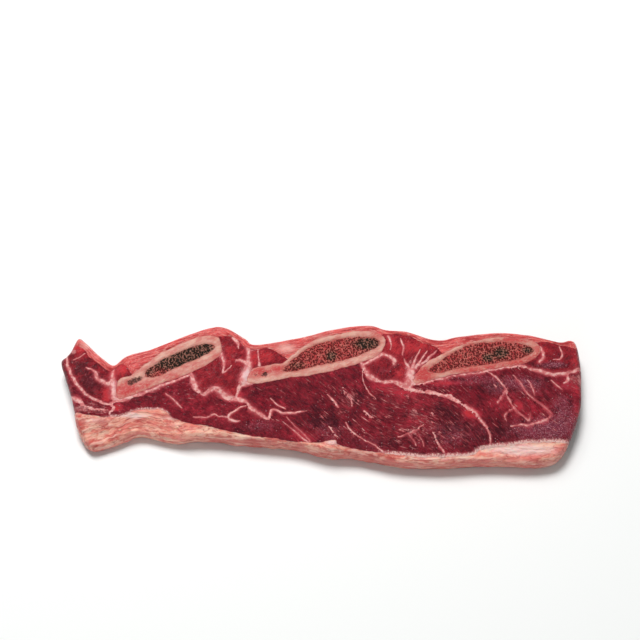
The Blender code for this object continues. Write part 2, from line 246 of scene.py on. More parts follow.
# The rib bones
# Three flat ribs, sawn across at a slant: a ring of dense ivory bone, thick above and thin below,
# worn smooth by the saw and stained with blood at the thin ends. The saw leaves faint straight lines.
BONES = {
    "left": [
        (-81.5, -4.6), (-72.3, -1.2), (-64.3, 2.6), (-53.2, 7.4), (-45, 12.7), (-41.2, 16.2),
        (-40.7, 20.6), (-42.8, 24.8), (-49.8, 25), (-58.1, 21.5), (-65.5, 17.4), (-72, 11.5), (-77, 6.8),
        (-82.2, 3.6),
    ],
    "middle": [
        (-28.3, 2.6), (-11.4, 5.4), (0, 7.2), (16.9, 12.4), (24.2, 16.2), (27, 21.4), (25.2, 26),
        (18, 27.8), (4.4, 25.6), (-4.1, 22.2), (-10, 17.6), (-14.5, 12.9), (-21.9, 10.9), (-28, 9),
    ],
    "right": [
        (38.4, 2.6), (53.9, 6.6), (67.3, 8.7), (80.9, 11.2), (88.6, 14.3), (91.3, 18.6), (88.4, 22.5),
        (77.4, 24.4), (68.4, 23.8), (59.1, 21), (49.9, 15.9), (42.6, 11),
    ],
}
MARROWS = {
    "left": [
        (-71.8, 7.8), (-67, 12.2), (-61, 16.1), (-53.9, 19.8), (-47.3, 21.6), (-43.9, 20.2), (-46, 16.9),
        (-57.5, 10.7), (-64.5, 6.5), (-69.8, 5),
    ],
    "middle": [
        (-15.2, 9.2), (-8.3, 16.6), (-2, 21), (6.5, 23.5), (17, 24.9), (23.6, 23.8), (24.2, 20.2),
        (14.9, 15.2), (4, 12.1), (-6.2, 9.5), (-12.5, 7.7),
    ],
    "right": [
        (45, 9.6), (56.7, 18.2), (63.7, 21.3), (73, 22.4), (83, 21.5), (88.4, 18.6), (84.6, 14.8),
        (73, 12.2), (58.5, 9.9), (48, 7.5),
    ],
}
GAP = 0.012  # how far each tissue keeps inside its border
CREASE = 0.05  # the depth of the crease along the border
MIX_SHARE, MIX_FIRST, MIX_SECOND, MIX_RESULT = 0, 6, 7, 2  # the sockets of a Mix node for colours
BONE_SLANT = {  # the way each rib's section runs, in radians
    "left": 0.55,
    "middle": 0.4,
    "right": 0.28,
}
BONE_BLOOD = {  # stains: place, reach and strength
    "left": [
        (-79, -0.5, 6, 3.6, 1), (-70, 1.5, 6, 2.6, 0.5), (-61, 5.4, 6, 2.4, 0.55),
        (-51, 10.4, 6, 2.4, 0.55), (-46, 24, 6, 1.5, 0.35), (-43, 15.4, 3, 2, 0.4),
    ],
    "middle": [
        (-24.6, 7.6, 4.6, 2.4, 1.05), (-17, 9.4, 4, 2, 0.85), (-24, 3.4, 5, 1.2, -0.6),
        (24, 26, 5, 2, 0.5),
    ],
    "right": [
        (62, 9.5, 16, 2.2, 0.75), (80, 13, 9, 2.4, 0.9), (90, 17, 3, 4, 0.7), (42, 6.5, 5, 3.4, 1.1),
        (80, 23, 8, 1.4, 1.1), (62, 21.2, 3, 1.2, 0.7),
    ],
}
BONE_HOLES = {  # small open patches in the dense bone: place, reach and how dark
    "left": [(-77.2, 2.8, 1.9, 1.3, 1.15), (-75, 4.2, 2.2, 1.4, 1.2), (-72.8, 5.4, 1.4, 0.9, 0.7)],
    "middle": [(-22.6, 6.9, 2, 1.4, 1.1), (-26.4, 6.6, 1, 0.8, 0.8)],
    "right": [(49, 8.2, 3, 1.2, 0.3)],
}


def triangulated(loops, lattice, lines=()):
    """(points, triangles) that fill closed loops; the lines stay as edges between triangles."""
    chains = [(loop, True) for loop in loops] + [(line, False) for line in lines]
    points, edges = [], []
    for chain, closed in chains:
        first, count = len(points), len(chain)
        points += [Vector(p[:2]) for p in chain]
        edges += [(first + i, first + (i + 1) % count) for i in range(count if closed else count - 1)]
    points += [Vector(p) for p in lattice]
    made = delaunay_2d_cdt(points, edges, [], 1, 1e-5)
    places = np.array([v[:] for v in made[0]])
    faces = np.array(made[2])
    for hole in loops[1:]:
        middles = places[faces].mean(axis=1)
        within = np.zeros(len(middles), bool)
        for (x0, y0), (x1, y1) in zip(hole, np.roll(hole, -1, axis=0)):
            if y0 != y1:
                crosses = (y0 > middles[:, 1]) != (y1 > middles[:, 1])
                within ^= crosses & (middles[:, 0] < (x1 - x0) * (middles[:, 1] - y0) / (y1 - y0) + x0)
        faces = faces[~within]
    used, faces = np.unique(faces, return_inverse=True)
    return places[used], faces.reshape(-1, 3)


def borders_of(faces, count):
    """The borders of a patch of triangles as loops of point numbers, with the patch on the left."""
    starts, ends = faces.ravel(), np.roll(faces, -1, axis=1).ravel()
    alone = ~np.isin(starts * count + ends, ends * count + starts)
    follow = dict(zip(starts[alone].tolist(), ends[alone].tolist()))
    found = []
    while follow:
        here = next(iter(follow))
        loop = []
        while here in follow:
            loop.append(here)
            here = follow.pop(here)
        found.append(np.array(loop))
    return found


def leftward(loop):
    """The direction to the left of a closed polyline at each point, longer in its corners."""
    back = loop - np.roll(loop, 1, axis=0)
    on = np.roll(loop, -1, axis=0) - loop
    both = sum(np.stack([-v[:, 1], v[:, 0]], 1) / np.linalg.norm(v, axis=1)[:, None] for v in (back, on))
    return both / np.maximum((both * both).sum(axis=1) / 2.0, 0.5)[:, None]


def lattice_in(loops, step):
    """A triangular lattice of points over the loops' box."""
    low, high = np.concatenate(loops).min(axis=0), np.concatenate(loops).max(axis=0)
    rows = []
    for row, y in enumerate(np.arange(low[1], high[1], step * math.sqrt(0.75))):
        x = np.arange(low[0], high[0], step) + (row % 2) * step / 2
        rows.append(np.stack([x, np.full_like(x, y)], axis=1))
    return np.concatenate(rows)


class Slab:
    """One tissue cut from the slab: its upper cut with relief, its wall and its flat lower cut.

    relief(x, y, rim) gives the tissue's own rise over the upper cut, with rim the distance to its
    border; wall(x, y, z) moves its outer wall outwards. plan and height hold every point's place.
    """

    def __init__(self, name, loops, relief, step=STEP, lines=(), wall=None, material=None):
        border = Nearest(loops)
        lattice = lattice_in(loops, step)
        lattice = lattice[border(lattice)[0] > 0.6 * step]
        lattice = lattice[from_outline(lattice)[0] > EDGE_CLEAR]
        edge_rows = [outline + leftward(outline) * depth for depth in EDGE_ROWS]
        lattice = np.concatenate([lattice] + [row[border(row)[0] > 0.08] for row in edge_rows])
        if lines:
            off_lines = Nearest([line[:, :2] for line in lines], closed=False)(lattice)[0]
            lattice = lattice[off_lines > 0.5 * step]
        points, faces = triangulated(loops, lattice, lines)
        rim = border(points)[0]
        edge = from_outline(points)[0]
        x, y = points.T
        z = upper_cut(x, y) + relief(x, y, rim) - CREASE * np.exp(-((rim / 0.8) ** 2)) * (edge > 1e-3)
        drop = 1.0 - np.clip(edge / EDGE_RADIUS, 0.0, 1.0)
        z -= EDGE_RADIUS * (1.0 - np.sqrt(1.0 - drop**2))
        plan, flat, height = [points], [points.copy()], [z]
        tris, total = [faces], len(points)
        foot = {}
        for loop in borders_of(faces, len(points)):
            left = leftward(points[loop])
            flat[0][loop] += left * GAP
            outer = edge[loop] < 1e-3
            rows = WALL_ROWS if outer.any() else 1
            above = loop
            for share in np.linspace(1.0, 0.0, rows + 1)[1:]:
                tuck = FOOT_TUCK * (1.0 - share) ** FOOT_CURVE
                level = z[loop] * share
                out = np.zeros(len(loop))
                if wall:
                    out = wall(*points[loop].T, level) * min(1.0, 4.0 * (1.0 - share), 8.0 * share)
                moved = flat[0][loop] + left * ((tuck - out) * outer)[:, None]
                below = np.arange(total, total + len(loop))
                total += len(loop)
                plan.append(points[loop])
                flat.append(moved)
                height.append(level)
                a, b, c, d = above, below, np.roll(below, -1), np.roll(above, -1)
                tris += [np.stack([a, b, c], axis=1), np.stack([a, c, d], axis=1)]
                above = below
            foot.update({tuple(np.round(p, 4)): i for p, i in zip(points[loop], above)})
        coarse = UNDER_COARSER * step
        lattice = lattice_in(loops, coarse)
        lattice = lattice[border(lattice)[0] > 0.6 * coarse]
        lattice = lattice[from_outline(lattice)[0] > FOOT_TUCK + 0.8]
        under, faces = triangulated([points[loop] for loop in borders_of(tris[0], len(points))], lattice)
        numbers = np.empty(len(under), int)
        for i, p in enumerate(under):
            known = foot.get(tuple(np.round(p, 4)))
            if known is None:
                known = total
                total += 1
                plan.append(p[None])
                flat.append(p[None])
                height.append(np.zeros(1))
            numbers[i] = known
        tris.append(numbers[faces][:, ::-1])
        self.plan, self.height = np.concatenate(plan), np.concatenate(height)
        places = np.column_stack([np.concatenate(flat) - MIDDLE, self.height]) * MM
        mesh = bpy.data.meshes.new(name)
        mesh.from_pydata(places.tolist(), [], np.concatenate(tris).tolist())
        mesh.shade_smooth()
        mesh.set_sharp_from_angle(angle=SHARP_ANGLE)
        self.piece = bpy.data.objects.new(name, mesh)
        bpy.context.scene.collection.objects.link(self.piece)
        if material:
            mesh.materials.append(material)

    def write(self, **columns):
        """Keeps a value or a vector for each point under each name, for the material to read."""
        for name, values in columns.items():
            kind, field = ("FLOAT_VECTOR", "vector") if values.ndim == 2 else ("FLOAT", "value")
            made = self.piece.data.attributes.new(name, kind, "POINT")
            made.data.foreach_set(field, values.astype(np.float32).ravel())


class Wire:
    """One output of a shader node, which can be added, taken away, multiplied and so on."""

    def __init__(self, socket):
        self.socket, self.tree = socket, socket.id_data

    def __add__(self, other):
        return maths("ADD", self, other)

    def __radd__(self, other):
        return maths("ADD", other, self)

    def __sub__(self, other):
        return maths("SUBTRACT", self, other)

    def __rsub__(self, other):
        return maths("SUBTRACT", other, self)

    def __mul__(self, other):
        return maths("MULTIPLY", self, other)

    def __rtruediv__(self, other):
        return maths("DIVIDE", other, self)


def put(value, socket):
    """Links a wire to an input, or sets the input to a value."""
    if isinstance(value, Wire):
        value.tree.links.new(value.socket, socket)
    else:
        socket.default_value = value


def tree_of(values):
    return next(value.tree for value in values if isinstance(value, Wire))


def node(tree, kind, values=(), output=0, **settings):
    """One output of a new shader node. values are its inputs, by name or in order."""
    made = tree.nodes.new("ShaderNode" + kind)
    for key, value in settings.items():
        setattr(made, key, value)
    for key, value in values.items() if isinstance(values, dict) else enumerate(values):
        put(value, made.inputs[key])
    return Wire(made.outputs[output])


def maths(operation, *values):
    return node(tree_of(values), "Math", values, operation=operation)


def window(value, low, high, bottom=0.0, top=1.0):
    """Bottom below low, top above high, and smooth between."""
    return node(value.tree, "MapRange", (value, low, high, bottom, top), interpolation_type="SMOOTHSTEP")


def tint(share, first, second):
    """A colour between first and second."""
    first, second = [colour if isinstance(colour, Wire) else (*colour, 1.0) for colour in (first, second)]
    values = {MIX_SHARE: share, MIX_FIRST: first, MIX_SECOND: second}
    return node(share.tree, "Mix", values, MIX_RESULT, data_type="RGBA")


def washed(colour, *washes):
    """A colour with others laid over it in turn, each given as its share and itself."""
    for share, wash in washes:
        colour = tint(share, colour, wash)
    return colour


def stretched(vector, x, y, z, shift=0.0):
    """Coordinates in mm drawn out along their axes, so that a pattern on them runs that way."""
    scaled = node(vector.tree, "VectorMath", (vector, (x, y, z)), operation="MULTIPLY")
    return node(vector.tree, "VectorMath", (scaled, (shift, 1.7 * shift, 0.0)), operation="ADD")


def noise(vector, scale=1.0, detail=2.0, roughness=0.5, output=0):
    values = {"Vector": vector, "Scale": scale, "Detail": detail, "Roughness": roughness}
    return node(vector.tree, "TexNoise", values, output)


def read(tree, name, output="Fac"):
    """A value that the mesh keeps on its points."""
    return node(tree, "Attribute", (), output, attribute_name=name)


def new_group(name, inputs, outputs):
    """An empty shader node group with these inputs and outputs."""
    tree = bpy.data.node_groups.new(name, "ShaderNodeTree")
    for key, value in inputs.items():
        kind = "NodeSocketVector" if value is None else "NodeSocketFloat"
        socket = tree.interface.new_socket(key, in_out="INPUT", socket_type=kind)
        if value is not None:
            socket.default_value = value
    for key in outputs:
        tree.interface.new_socket(key, in_out="OUTPUT", socket_type="NodeSocketFloat")
    given = tree.nodes.new("NodeGroupInput").outputs
    return tree, {key: Wire(given[key]) for key in inputs}, tree.nodes.new("NodeGroupOutput").inputs


def use_group(group, **values):
    made = tree_of(values.values()).nodes.new("ShaderNodeGroup")
    made.node_tree = group
    for key, value in values.items():
        put(value, made.inputs[key.replace("_", " ")])
    return {socket.name: Wire(socket) for socket in made.outputs}


def new_material(name, roughness, through, radius, coat=0.0):
    """(material, its node tree, its shader's inputs) of a moist tissue that light enters a little."""
    made = bpy.data.materials.new(name)
    made.use_nodes = True
    shader = made.node_tree.nodes["Principled BSDF"].inputs
    looks = {
        "Roughness": roughness, "Specular IOR Level": 0.35, "Subsurface Weight": through,
        "Subsurface Radius": radius, "Subsurface Scale": MM, "Coat Weight": coat, "Coat Roughness": 0.16,
    }
    for key, value in looks.items():
        put(value, shader[key])
    return made, made.node_tree, shader


def bump(shader, *layers):
    """Adds layers of fine relief, each given as its height, its depth in mm and its strength."""
    values = {}
    for height, depth, strength in layers:
        values.update({"Height": height, "Distance": depth * MM, "Strength": strength})
        values["Normal"] = node(height.tree, "Bump", values)
    put(values["Normal"], shader["Normal"])


def along_rib(x, y, side):
    """(along, across) the sawn section of one rib, in mm."""
    slant = BONE_SLANT[side]
    return x * math.cos(slant) + y * math.sin(slant), y * math.cos(slant) - x * math.sin(slant)


# Moist gloss, in patches that are wetter or drier
moist, given, out = new_group("MoistGloss", {"Place": None, "Dry": 0.5, "Wet": 0.25}, ["Roughness"])
patchy = noise(given["Place"], 0.35, 3.0, 0.6)
put(node(moist, "MapRange", (patchy, 0.4, 0.62, given["Dry"], given["Wet"])), out["Roughness"])


def coloured(shader, colour, place, dry, wet):
    """Gives a shader its colour, and a moist gloss whose roughness lies between dry and wet."""
    put(colour, shader["Base Color"])
    put(use_group(moist, Place=place, Dry=dry, Wet=wet)["Roughness"], shader["Roughness"])


# Open cells of spongy bone, in the marrow cores and where the dense bone thins out
cells, given, out = new_group("BoneCells", {"Place": None, "Openness": 0.5, "Size": 0.55}, ["Hole"])
shifted = node(cells, "VectorMath", (given["Place"], noise(given["Place"], 2.2)), operation="ADD")
values = {"Vector": shifted, "Scale": 1.0 / given["Size"], "Randomness": 1.0}
cell = node(cells, "TexVoronoi", values, feature="F1")
limit = given["Openness"] * 1.1
put(window(cell, limit - 0.2, limit, 1.0, 0.0), out["Hole"])

bone_skin, tree, shader = new_material("sawn_bone", 0.42, 0.25, (1.6, 0.7, 0.4), 0.10)
place = read(tree, "place", "Vector")
blood, core, rim, pits = [read(tree, name) for name in ("blood", "core", "rim", "pits")]
cloudy = noise(stretched(place, 0.5, 1.0, 1.0), 0.4, 4.0, 0.65)
fine = noise(stretched(place, 0.8, 2.4, 1.0), 1.3, 4.0, 0.7)
stained = blood + (cloudy - 0.5) * 0.9 + (fine - 0.5) * (0.7 + blood * 3.6)
worn = pits + (noise(place, 1.1, 3.0, 0.7) - 0.5) * 1.7
near_core = window(core, 1.2, 0.0, 0.0, 0.5) + window(worn, 0.3, 1.0)
# The open cells are painted nearly black, as painted shade in the holes.
shaded_open_cells = use_group(cells, Place=place, Openness=near_core * 0.6, Size=0.42)["Hole"]
colour = washed(
    tint(window(cloudy, 0.36, 0.64), (0.66, 0.37, 0.3), (0.57, 0.205, 0.175)),
    (window(fine, 0.5, 0.68, 0.0, 0.6), (0.76, 0.52, 0.43)),
    (window(stained, -0.15, 1.05), (0.5, 0.052, 0.055)),
    (window(rim, 0.5, 0.05, 0.0, 0.45), (0.5, 0.09, 0.09)),
    (window(core, 1.4, 0.1, 0.0, 0.45), (0.52, 0.16, 0.13)),
    (window(worn, 0.4, 1.1, 0.0, 0.75), (0.2, 0.048, 0.038)),
    (shaded_open_cells * 0.92, (0.06, 0.02, 0.016)),
)
coloured(shader, colour, place, 0.55, 0.3)
saw_lines = noise(stretched(place, 0.15, 4.0, 0.5), 1.0, 3.0, 0.7)
bump(shader, (saw_lines, 0.12, 0.5), (fine, 0.10, 0.6), (1.0 - shaded_open_cells, 0.30, 0.9))

bone_loops = {side: natural_curve(points, closed=True) for side, points in BONES.items()}
marrow_loops = {side: natural_curve(points, closed=True) for side, points in MARROWS.items()}
for side in BONES:
    hole = marrow_loops[side]

    def bone_relief(x, y, rim):
        rise = 0.22 + 0.06 * hills(x, y, 2.2, 11) + 0.03 * hills(x, y, 0.8, 12)
        rise -= 0.30 * patches(x, y, BONE_HOLES[side]) * (0.6 + 0.4 * hills(x, y, 0.6, 13))
        return rise * smoothstep(rim / 0.8)

    bone = Slab(side + "_rib_bone", [bone_loops[side], hole], bone_relief, BONE_STEP, material=bone_skin)
    x, y = bone.plan.T
    along, across = along_rib(x, y, side)
    bone.write(
        place=np.column_stack([along, across, bone.height]),
        blood=patches(x, y, BONE_BLOOD[side]),
        pits=patches(x, y, BONE_HOLES[side]),
        core=Nearest([hole])(bone.plan)[0],
        rim=Nearest([bone_loops[side]])(bone.plan)[0],
    )
    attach(bone.piece, "root")
    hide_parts("bone_" + side)

# The marrow cores
# Spongy bone inside each ring: thin struts around open cells, which the saw has emptied in places,
# and red marrow in the others. The pits are painted darker with their depth: red where marrow fills
# them, and painted shade, nearly black, where they are empty. The cells lie across the rib.
CELL_PITCH = 0.68
CELL_LONG = 1.5  # a cell's length across the rib, as a share of its width
MARROW_DARK = {  # where the cells are empty and painted nearly black as shade: place, reach and how dark
    "left": [
        (-62, 12.6, 8, 4, 1.05), (-53, 16.5, 7, 4, 0.85), (-47, 19.5, 4, 3, 0.75),
        (-70, 7.5, 3, 2.4, 0.55),
    ],
    "middle": [(19.4, 21.4, 6, 3.2, 1), (4.6, 15.6, 2.6, 3, 0.85), (-9.5, 11, 4.8, 2.4, 0.55)],
    "right": [(75, 17, 3.2, 3, 1), (69.2, 14.8, 2.6, 2.4, 0.9), (86, 18, 3.2, 2, 0.75)],
}


def cell_pits(x, y, side):
    """How deep each place lies in an open cell, 0 on the struts to 1 in the middle of a cell."""
    along, across = along_rib(x, y, side)
    across = across / CELL_LONG
    draw = np.random.default_rng(len(side))
    columns = [np.arange(values.min(), values.max(), CELL_PITCH) for values in (along, across)]
    grid = np.stack(np.meshgrid(*columns), -1).reshape(-1, 2)
    grid += draw.uniform(-0.42, 0.42, grid.shape) * CELL_PITCH
    reach = draw.uniform(0.15, 0.42, len(grid))
    tree = KDTree(len(grid))
    for i, (a, b) in enumerate(grid):
        tree.insert((a, b, 0.0), i)
    tree.balance()
    depth = np.zeros(len(x))
    for i, (a, b) in enumerate(zip(along, across)):
        for _, k, far in tree.find_n((a, b, 0.0), 2):
            depth[i] = max(depth[i], 1.0 - far / reach[k] / 1.25)
    return smoothstep(depth * 1.5)


marrow_skin, tree, shader = new_material("spongy_marrow", 0.45, 0.12, (1.0, 0.3, 0.2), 0.15)
place = read(tree, "place", "Vector")
cloudy = noise(place, 0.5, 4.0, 0.65)
# Pale specks on the struts: partly pale bone, and partly painted glints of wet light.
grit_glints = noise(place, 3.2, 3.0, 0.7)
emptied = window(read(tree, "dark") + cloudy * 0.7, 0.45, 1.15)
strut = washed(
    tint(window(cloudy, 0.42, 0.58), (0.52, 0.115, 0.1), (0.48, 0.045, 0.05)),
    (window(grit_glints, 0.52, 0.68, 0.0, 0.7), (0.6, 0.27, 0.21)),
    (emptied * 0.75, (0.26, 0.14, 0.1)),
)
# The floor of the pits: red marrow where the cells are full, and painted shade, nearly black, where they
# are empty.
floor = tint(emptied, (0.17, 0.02, 0.02), (0.026, 0.015, 0.01))
fine_shaded_cells = use_group(cells, Place=place, Openness=0.36, Size=0.40)["Hole"]
# Painted shade: the deeper pits and the finer holes take the floor's colour.
deep = maths("MAXIMUM", window(read(tree, "pit") + emptied * 0.2, 0.1, 0.55), fine_shaded_cells * 0.75)
put(tint(deep, strut, floor), shader["Base Color"])
put(window(cloudy, 0.4, 0.6, 0.55, 0.3), shader["Roughness"])
bump(shader, (grit_glints, 0.16, 0.8), (1.0 - fine_shaded_cells, 0.25, 0.8))

for side in BONES:

    def marrow_relief(x, y, rim):
        rough = 0.10 * hills(x, y, 0.55, 21) + 0.06 * hills(x, y, 2.4, 22)
        return (0.22 + rough - 0.50 * cell_pits(x, y, side)) * smoothstep(rim / 0.6)

    core = Slab(
        side + "_marrow_core", [marrow_loops[side]], marrow_relief, MARROW_STEP, material=marrow_skin
    )
    x, y = core.plan.T
    along, across = along_rib(x, y, side)
    rim = Nearest([marrow_loops[side]])(core.plan)[0]
    core.write(
        place=np.column_stack([along, across * 0.75, core.height]),
        pit=cell_pits(x, y, side) * smoothstep(rim / 0.5),
        dark=patches(x, y, MARROW_DARK[side]),
    )
    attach(core.piece, "root")
    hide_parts("marrow_" + side)

# The rib lining
# The tough skin of the chest's inner side, with a little fat on it, along the whole back edge.
# It wraps the bones' backs as a rounded band, pale coral, streaked white and red along its run.
RIMS = {
    "rim_left": [
        (-102.6, 20.6), (-98.6, 19.4), (-94, 14.2), (-87, 9.3), (-82.6, 11.4), (-79.6, 10.6),
        (-77.6, 7.4),
    ],
    "rim_mid_left": [
        (-42.5, 24.8), (-36.6, 24.8), (-30.4, 19.5), (-25.4, 18.4), (-20.6, 18.8), (-13.5, 14.2),
    ],
    "rim_mid_right": [(25.6, 25.6), (31, 26.1), (37, 25), (43, 21.7), (48, 19.8), (51, 16.6)],
    "rim_right": [(89.4, 21.8), (94.6, 22), (100.4, 20.4), (107, 18.6)],
}
LINING_RED = [
    (-103, 21, 2.5, 2.5, 0.7), (-84, 9.5, 3, 2, 0.5), (-20, 21, 7, 1.5, 0.25), (48, 22, 6, 2, 0.5),
    (60, 24, 10, 2, 0.45), (100, 21.5, 5, 1.5, 0.7), (33, 27, 6, 1.5, 0.4),
]
LINING_WHITE = [(-97, 20.5, 4, 3, 0.5), (-14, 19, 5, 3, 0.6), (0, 25, 9, 2, 0.35), (70, 26, 12, 1.5, 0.2)]


def stretch(loop, start, end):
    """The stretch of a closed curve from the point nearest start, forwards to the one nearest end."""
    first, last = nearest_number(loop, start), nearest_number(loop, end)
    return loop[np.arange(first, last + 1 if last >= first else last + 1 + len(loop)) % len(loop)]


def border_between(start_loop, points, end_loop):
    """A smooth border whose ends are moved onto the nearest points of the loops that it joins."""
    curve = natural_curve(points)
    curve[0] = start_loop[nearest_number(start_loop, curve[0])]
    curve[-1] = end_loop[nearest_number(end_loop, curve[-1])]
    return curve


def joined(*stretches):
    """One closed loop from stretches that follow on, without the points that two of them share."""
    return np.concatenate([part[:-1] for part in stretches])


left_ring, middle_ring, right_ring = bone_loops["left"], bone_loops["middle"], bone_loops["right"]
rim_left = border_between(outline, RIMS["rim_left"], left_ring)
rim_mid_left = border_between(left_ring, RIMS["rim_mid_left"], middle_ring)
rim_mid_right = border_between(middle_ring, RIMS["rim_mid_right"], right_ring)
rim_right = border_between(right_ring, RIMS["rim_right"], outline)
lining_loop = joined(
    rim_left,
    stretch(left_ring, rim_mid_left[0], rim_left[-1])[::-1],
    rim_mid_left,
    stretch(middle_ring, rim_mid_right[0], rim_mid_left[-1])[::-1],
    rim_mid_right,
    stretch(right_ring, rim_right[0], rim_mid_right[-1])[::-1],
    rim_right,
    stretch(outline, rim_right[-1], rim_left[0]),
)


def along_back(x, y):
    """How far each place lies along the back edge, and how far in from it."""
    far, nearest = from_back(np.column_stack([x, y]))
    return nearest[:, 2], far


back = stretch(outline, RIGHT_END[-1], BACK_EDGE[-1])
from_back = Nearest([np.column_stack([back, run_along(back)])], closed=False)

lining_skin, tree, shader = new_material("rib_lining", 0.32, 0.30, (2.0, 0.6, 0.4), 0.25)
place = read(tree, "place", "Vector")
streaks = noise(stretched(place, 0.16, 1.5, 0.5), 1.0, 5.0, 0.62)
thin = noise(stretched(place, 0.35, 4.0, 1.2, 7.0), 1.0, 4.0, 0.6)
cloudy = noise(stretched(place, 0.3, 0.5, 0.4, 3.0), 1.0, 3.0, 0.6)
red = read(tree, "red") + (cloudy - 0.5) * 1.7
colour = washed(
    tint(window(streaks, 0.38, 0.6), (0.48, 0.04, 0.046), (0.73, 0.128, 0.12)),
    (window(thin, 0.53, 0.64, 0.0, 0.85), (0.84, 0.38, 0.335)),
    (window(red, 0.1, 0.7, 0.0, 0.9), (0.4, 0.032, 0.038)),
    (window(read(tree, "white"), 0.1, 0.8, 0.0, 0.75), (0.82, 0.5, 0.44)),
)
coloured(shader, colour, place, 0.45, 0.2)
bump(shader, (streaks, 0.35, 0.7), (thin, 0.15, 0.7), (cloudy, 0.4, 0.3))


def lining_relief(x, y, rim):
    run, inward = along_back(x, y)
    fold = hills(run, inward * 4.0, 3.2, 31) * 0.20 + hills(run * 0.3, inward * 2.5, 0.9, 32) * 0.10
    return 0.35 * smoothstep(rim / 1.2) + fold * smoothstep(rim / 0.5)


def lining_wall(x, y, z):
    run, _ = along_back(x, y)
    return 0.30 * hills(run * 0.22, z, 1.7, 33) + 0.10 * hills(run, z, 1.1, 34)


lining = Slab(
    "chest_side_lining", [lining_loop], lining_relief, LINING_STEP, wall=lining_wall, material=lining_skin
)
x, y = lining.plan.T
run_here, inward_here = along_back(x, y)
lining.write(
    place=np.column_stack([run_here, inward_here, lining.height]),
    red=patches(x, y, LINING_RED),
    white=patches(x, y, LINING_WHITE),
)
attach(lining.piece, "root")
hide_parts("rib_lining")

# The rib muscles
# Short muscles that fill the spaces between the ribs and beyond the outer two. Their fibres are cut
# nearly across, so they look soft and even, bright crimson, with white seams where they are bound.
SEAMS = {  # borders between the rib muscles and the lean under them, as x, y and half the seam's width
    "left": [
        (-104.8, 15.8, 0.22), (-103.2, 9.6, 0.3), (-98, 0.6, 0.32), (-92, -4.4, 0.26),
        (-85.5, -7.1, 0.32), (-81.6, -4.7, 0.42),
    ],
    "mid_left": [
        (-53, 7.5, 0.3), (-51.2, 2.2, 0.55), (-48, -2.6, 0.45), (-43, -0.2, 0.6), (-37.5, -4, 0.85),
        (-34, -3.6, 0.3), (-32.6, 1.2, 0.4), (-28.4, 2.8, 0.6),
    ],
    "mid_right": [
        (16.8, 12.4, 0.35), (19.4, 6.4, 0.7), (25, 3.2, 0.4), (30.2, 3.2, 0.5), (34.2, 0.9, 0.85),
        (38.4, 2.8, 0.6),
    ],
    "right": [(81, 11.2, 0.4), (87.6, 8.8, 0.42), (97, 6.7, 0.42), (107.2, 9.2, 0.35)],
}
RIB_MUSCLE_SEAMS = {  # seams of fat inside each rib muscle
    "left_end": [
        [(-95.5, 9.4, 0.14), (-92.2, 7.7, 0.3), (-90.4, 4.1, 0.4), (-87.1, 2.4, 0.52), (-84.6, 2.4, 0.7)],
        [(-101.6, 13.6, 0.15), (-98.6, 15.4, 0.15), (-97.2, 16.6, 0.12)],
        [(-84.9, 11, 0.22), (-84.8, 6, 0.48), (-83.9, 0.5, 0.75), (-83.2, -4.6, 0.85)],
    ],
    "left": [
        [(-40.8, 16.6, 0.5), (-39.5, 10.6, 0.3), (-39.5, 6.8, 0.18)],
        [(-39.5, 6.8, 0.15), (-38.4, 7.7, 0.18), (-36.5, 10.6, 0.12)],
        [(-34.6, 13.2, 0.2), (-32.5, 13, 0.4), (-30.3, 11.4, 0.5)],
        [
            (-32.6, 22.6, 0.45), (-30.1, 19.6, 0.5), (-29.4, 15.4, 0.45), (-29.2, 9.6, 0.6),
            (-30.4, 5.4, 1.1), (-31.6, 2.6, 0.8),
        ],
        [(-25.9, 18.4, 0.16), (-25.2, 13.6, 0.2), (-25, 10.6, 0.3)],
        [(-36, 24.4, 0.35), (-34.2, 21, 0.3), (-33.6, 18.6, 0.12)],
    ],
    "right": [
        [(17.6, 11, 0.4), (22.9, 14.2, 0.45), (26.8, 15.8, 0.45), (30.2, 13.4, 0.4), (30.6, 11.2, 0.35)],
        [(34.8, 13.6, 0.12), (36.4, 9, 0.4), (36.8, 5, 0.8), (35.6, 2, 0.9)],
        [(41.6, 18.6, 0.08), (39, 13, 0.25), (38, 8, 0.55), (37.2, 3.6, 0.9)],
        [(44.6, 17.6, 0.1), (41.6, 13.4, 0.22), (39.2, 9.6, 0.45)],
        [(48.6, 18, 0.12), (44.4, 13.6, 0.26), (40.8, 10.6, 0.4)],
        [(33.6, 23.6, 0.15), (34.6, 19.4, 0.22), (34.2, 15.6, 0.15)],
        [(28.4, 24.6, 0.3), (29.4, 21, 0.18), (29, 18, 0.12)],
    ],
    "right_end": [
        [(99.5, 19.6, 0.15), (99.9, 16.6, 0.2), (99, 13.6, 0.15), (95.8, 13.6, 0.12)],
        [(91, 19.6, 0.35), (92.2, 15.6, 0.3), (90.4, 12.4, 0.35)],
    ],
}
RIB_MUSCLE_TONE = {  # lighter and darker patches
    "left_end": [
        (-93, 3, 7, 5, -0.9), (-98, 11, 3.5, 4, -0.6), (-86.2, -2.6, 1.6, 3, 1.8),
        (-99.8, 19.4, 2.6, 2.6, 2.4), (-84.6, 8.2, 1.5, 3.4, 1.6), (-91, 11.5, 5, 1.8, -0.2),
        (-81.2, 8.8, 2.2, 2.6, 2.6),
    ],
    "left": [
        (-37, 16, 3, 6, 0.6), (-28, 14.5, 2.6, 4, 1.4), (-22.5, 15.2, 4, 2.2, 1.3), (-44, 4, 6, 5, 0.15),
        (-34, -1.6, 2, 2, 0.9),
    ],
    "right": [
        (27, 8.5, 6, 4, -0.2), (29.5, 21, 2, 4, 1.3), (35, 18.5, 4, 5, 0.7), (42, 20, 5, 2.6, 1.3),
        (33.6, 7, 2.4, 4, 0.9), (31.3, 10.4, 1.3, 0.8, -1.6),
    ],
    "right_end": [
        (93.5, 10.4, 7, 1.3, -1.4), (101, 15.5, 4, 4, -0.2), (104.6, 14, 1.8, 6, 0.7),
        (94, 18, 3.5, 3, 0.3),
    ],
}
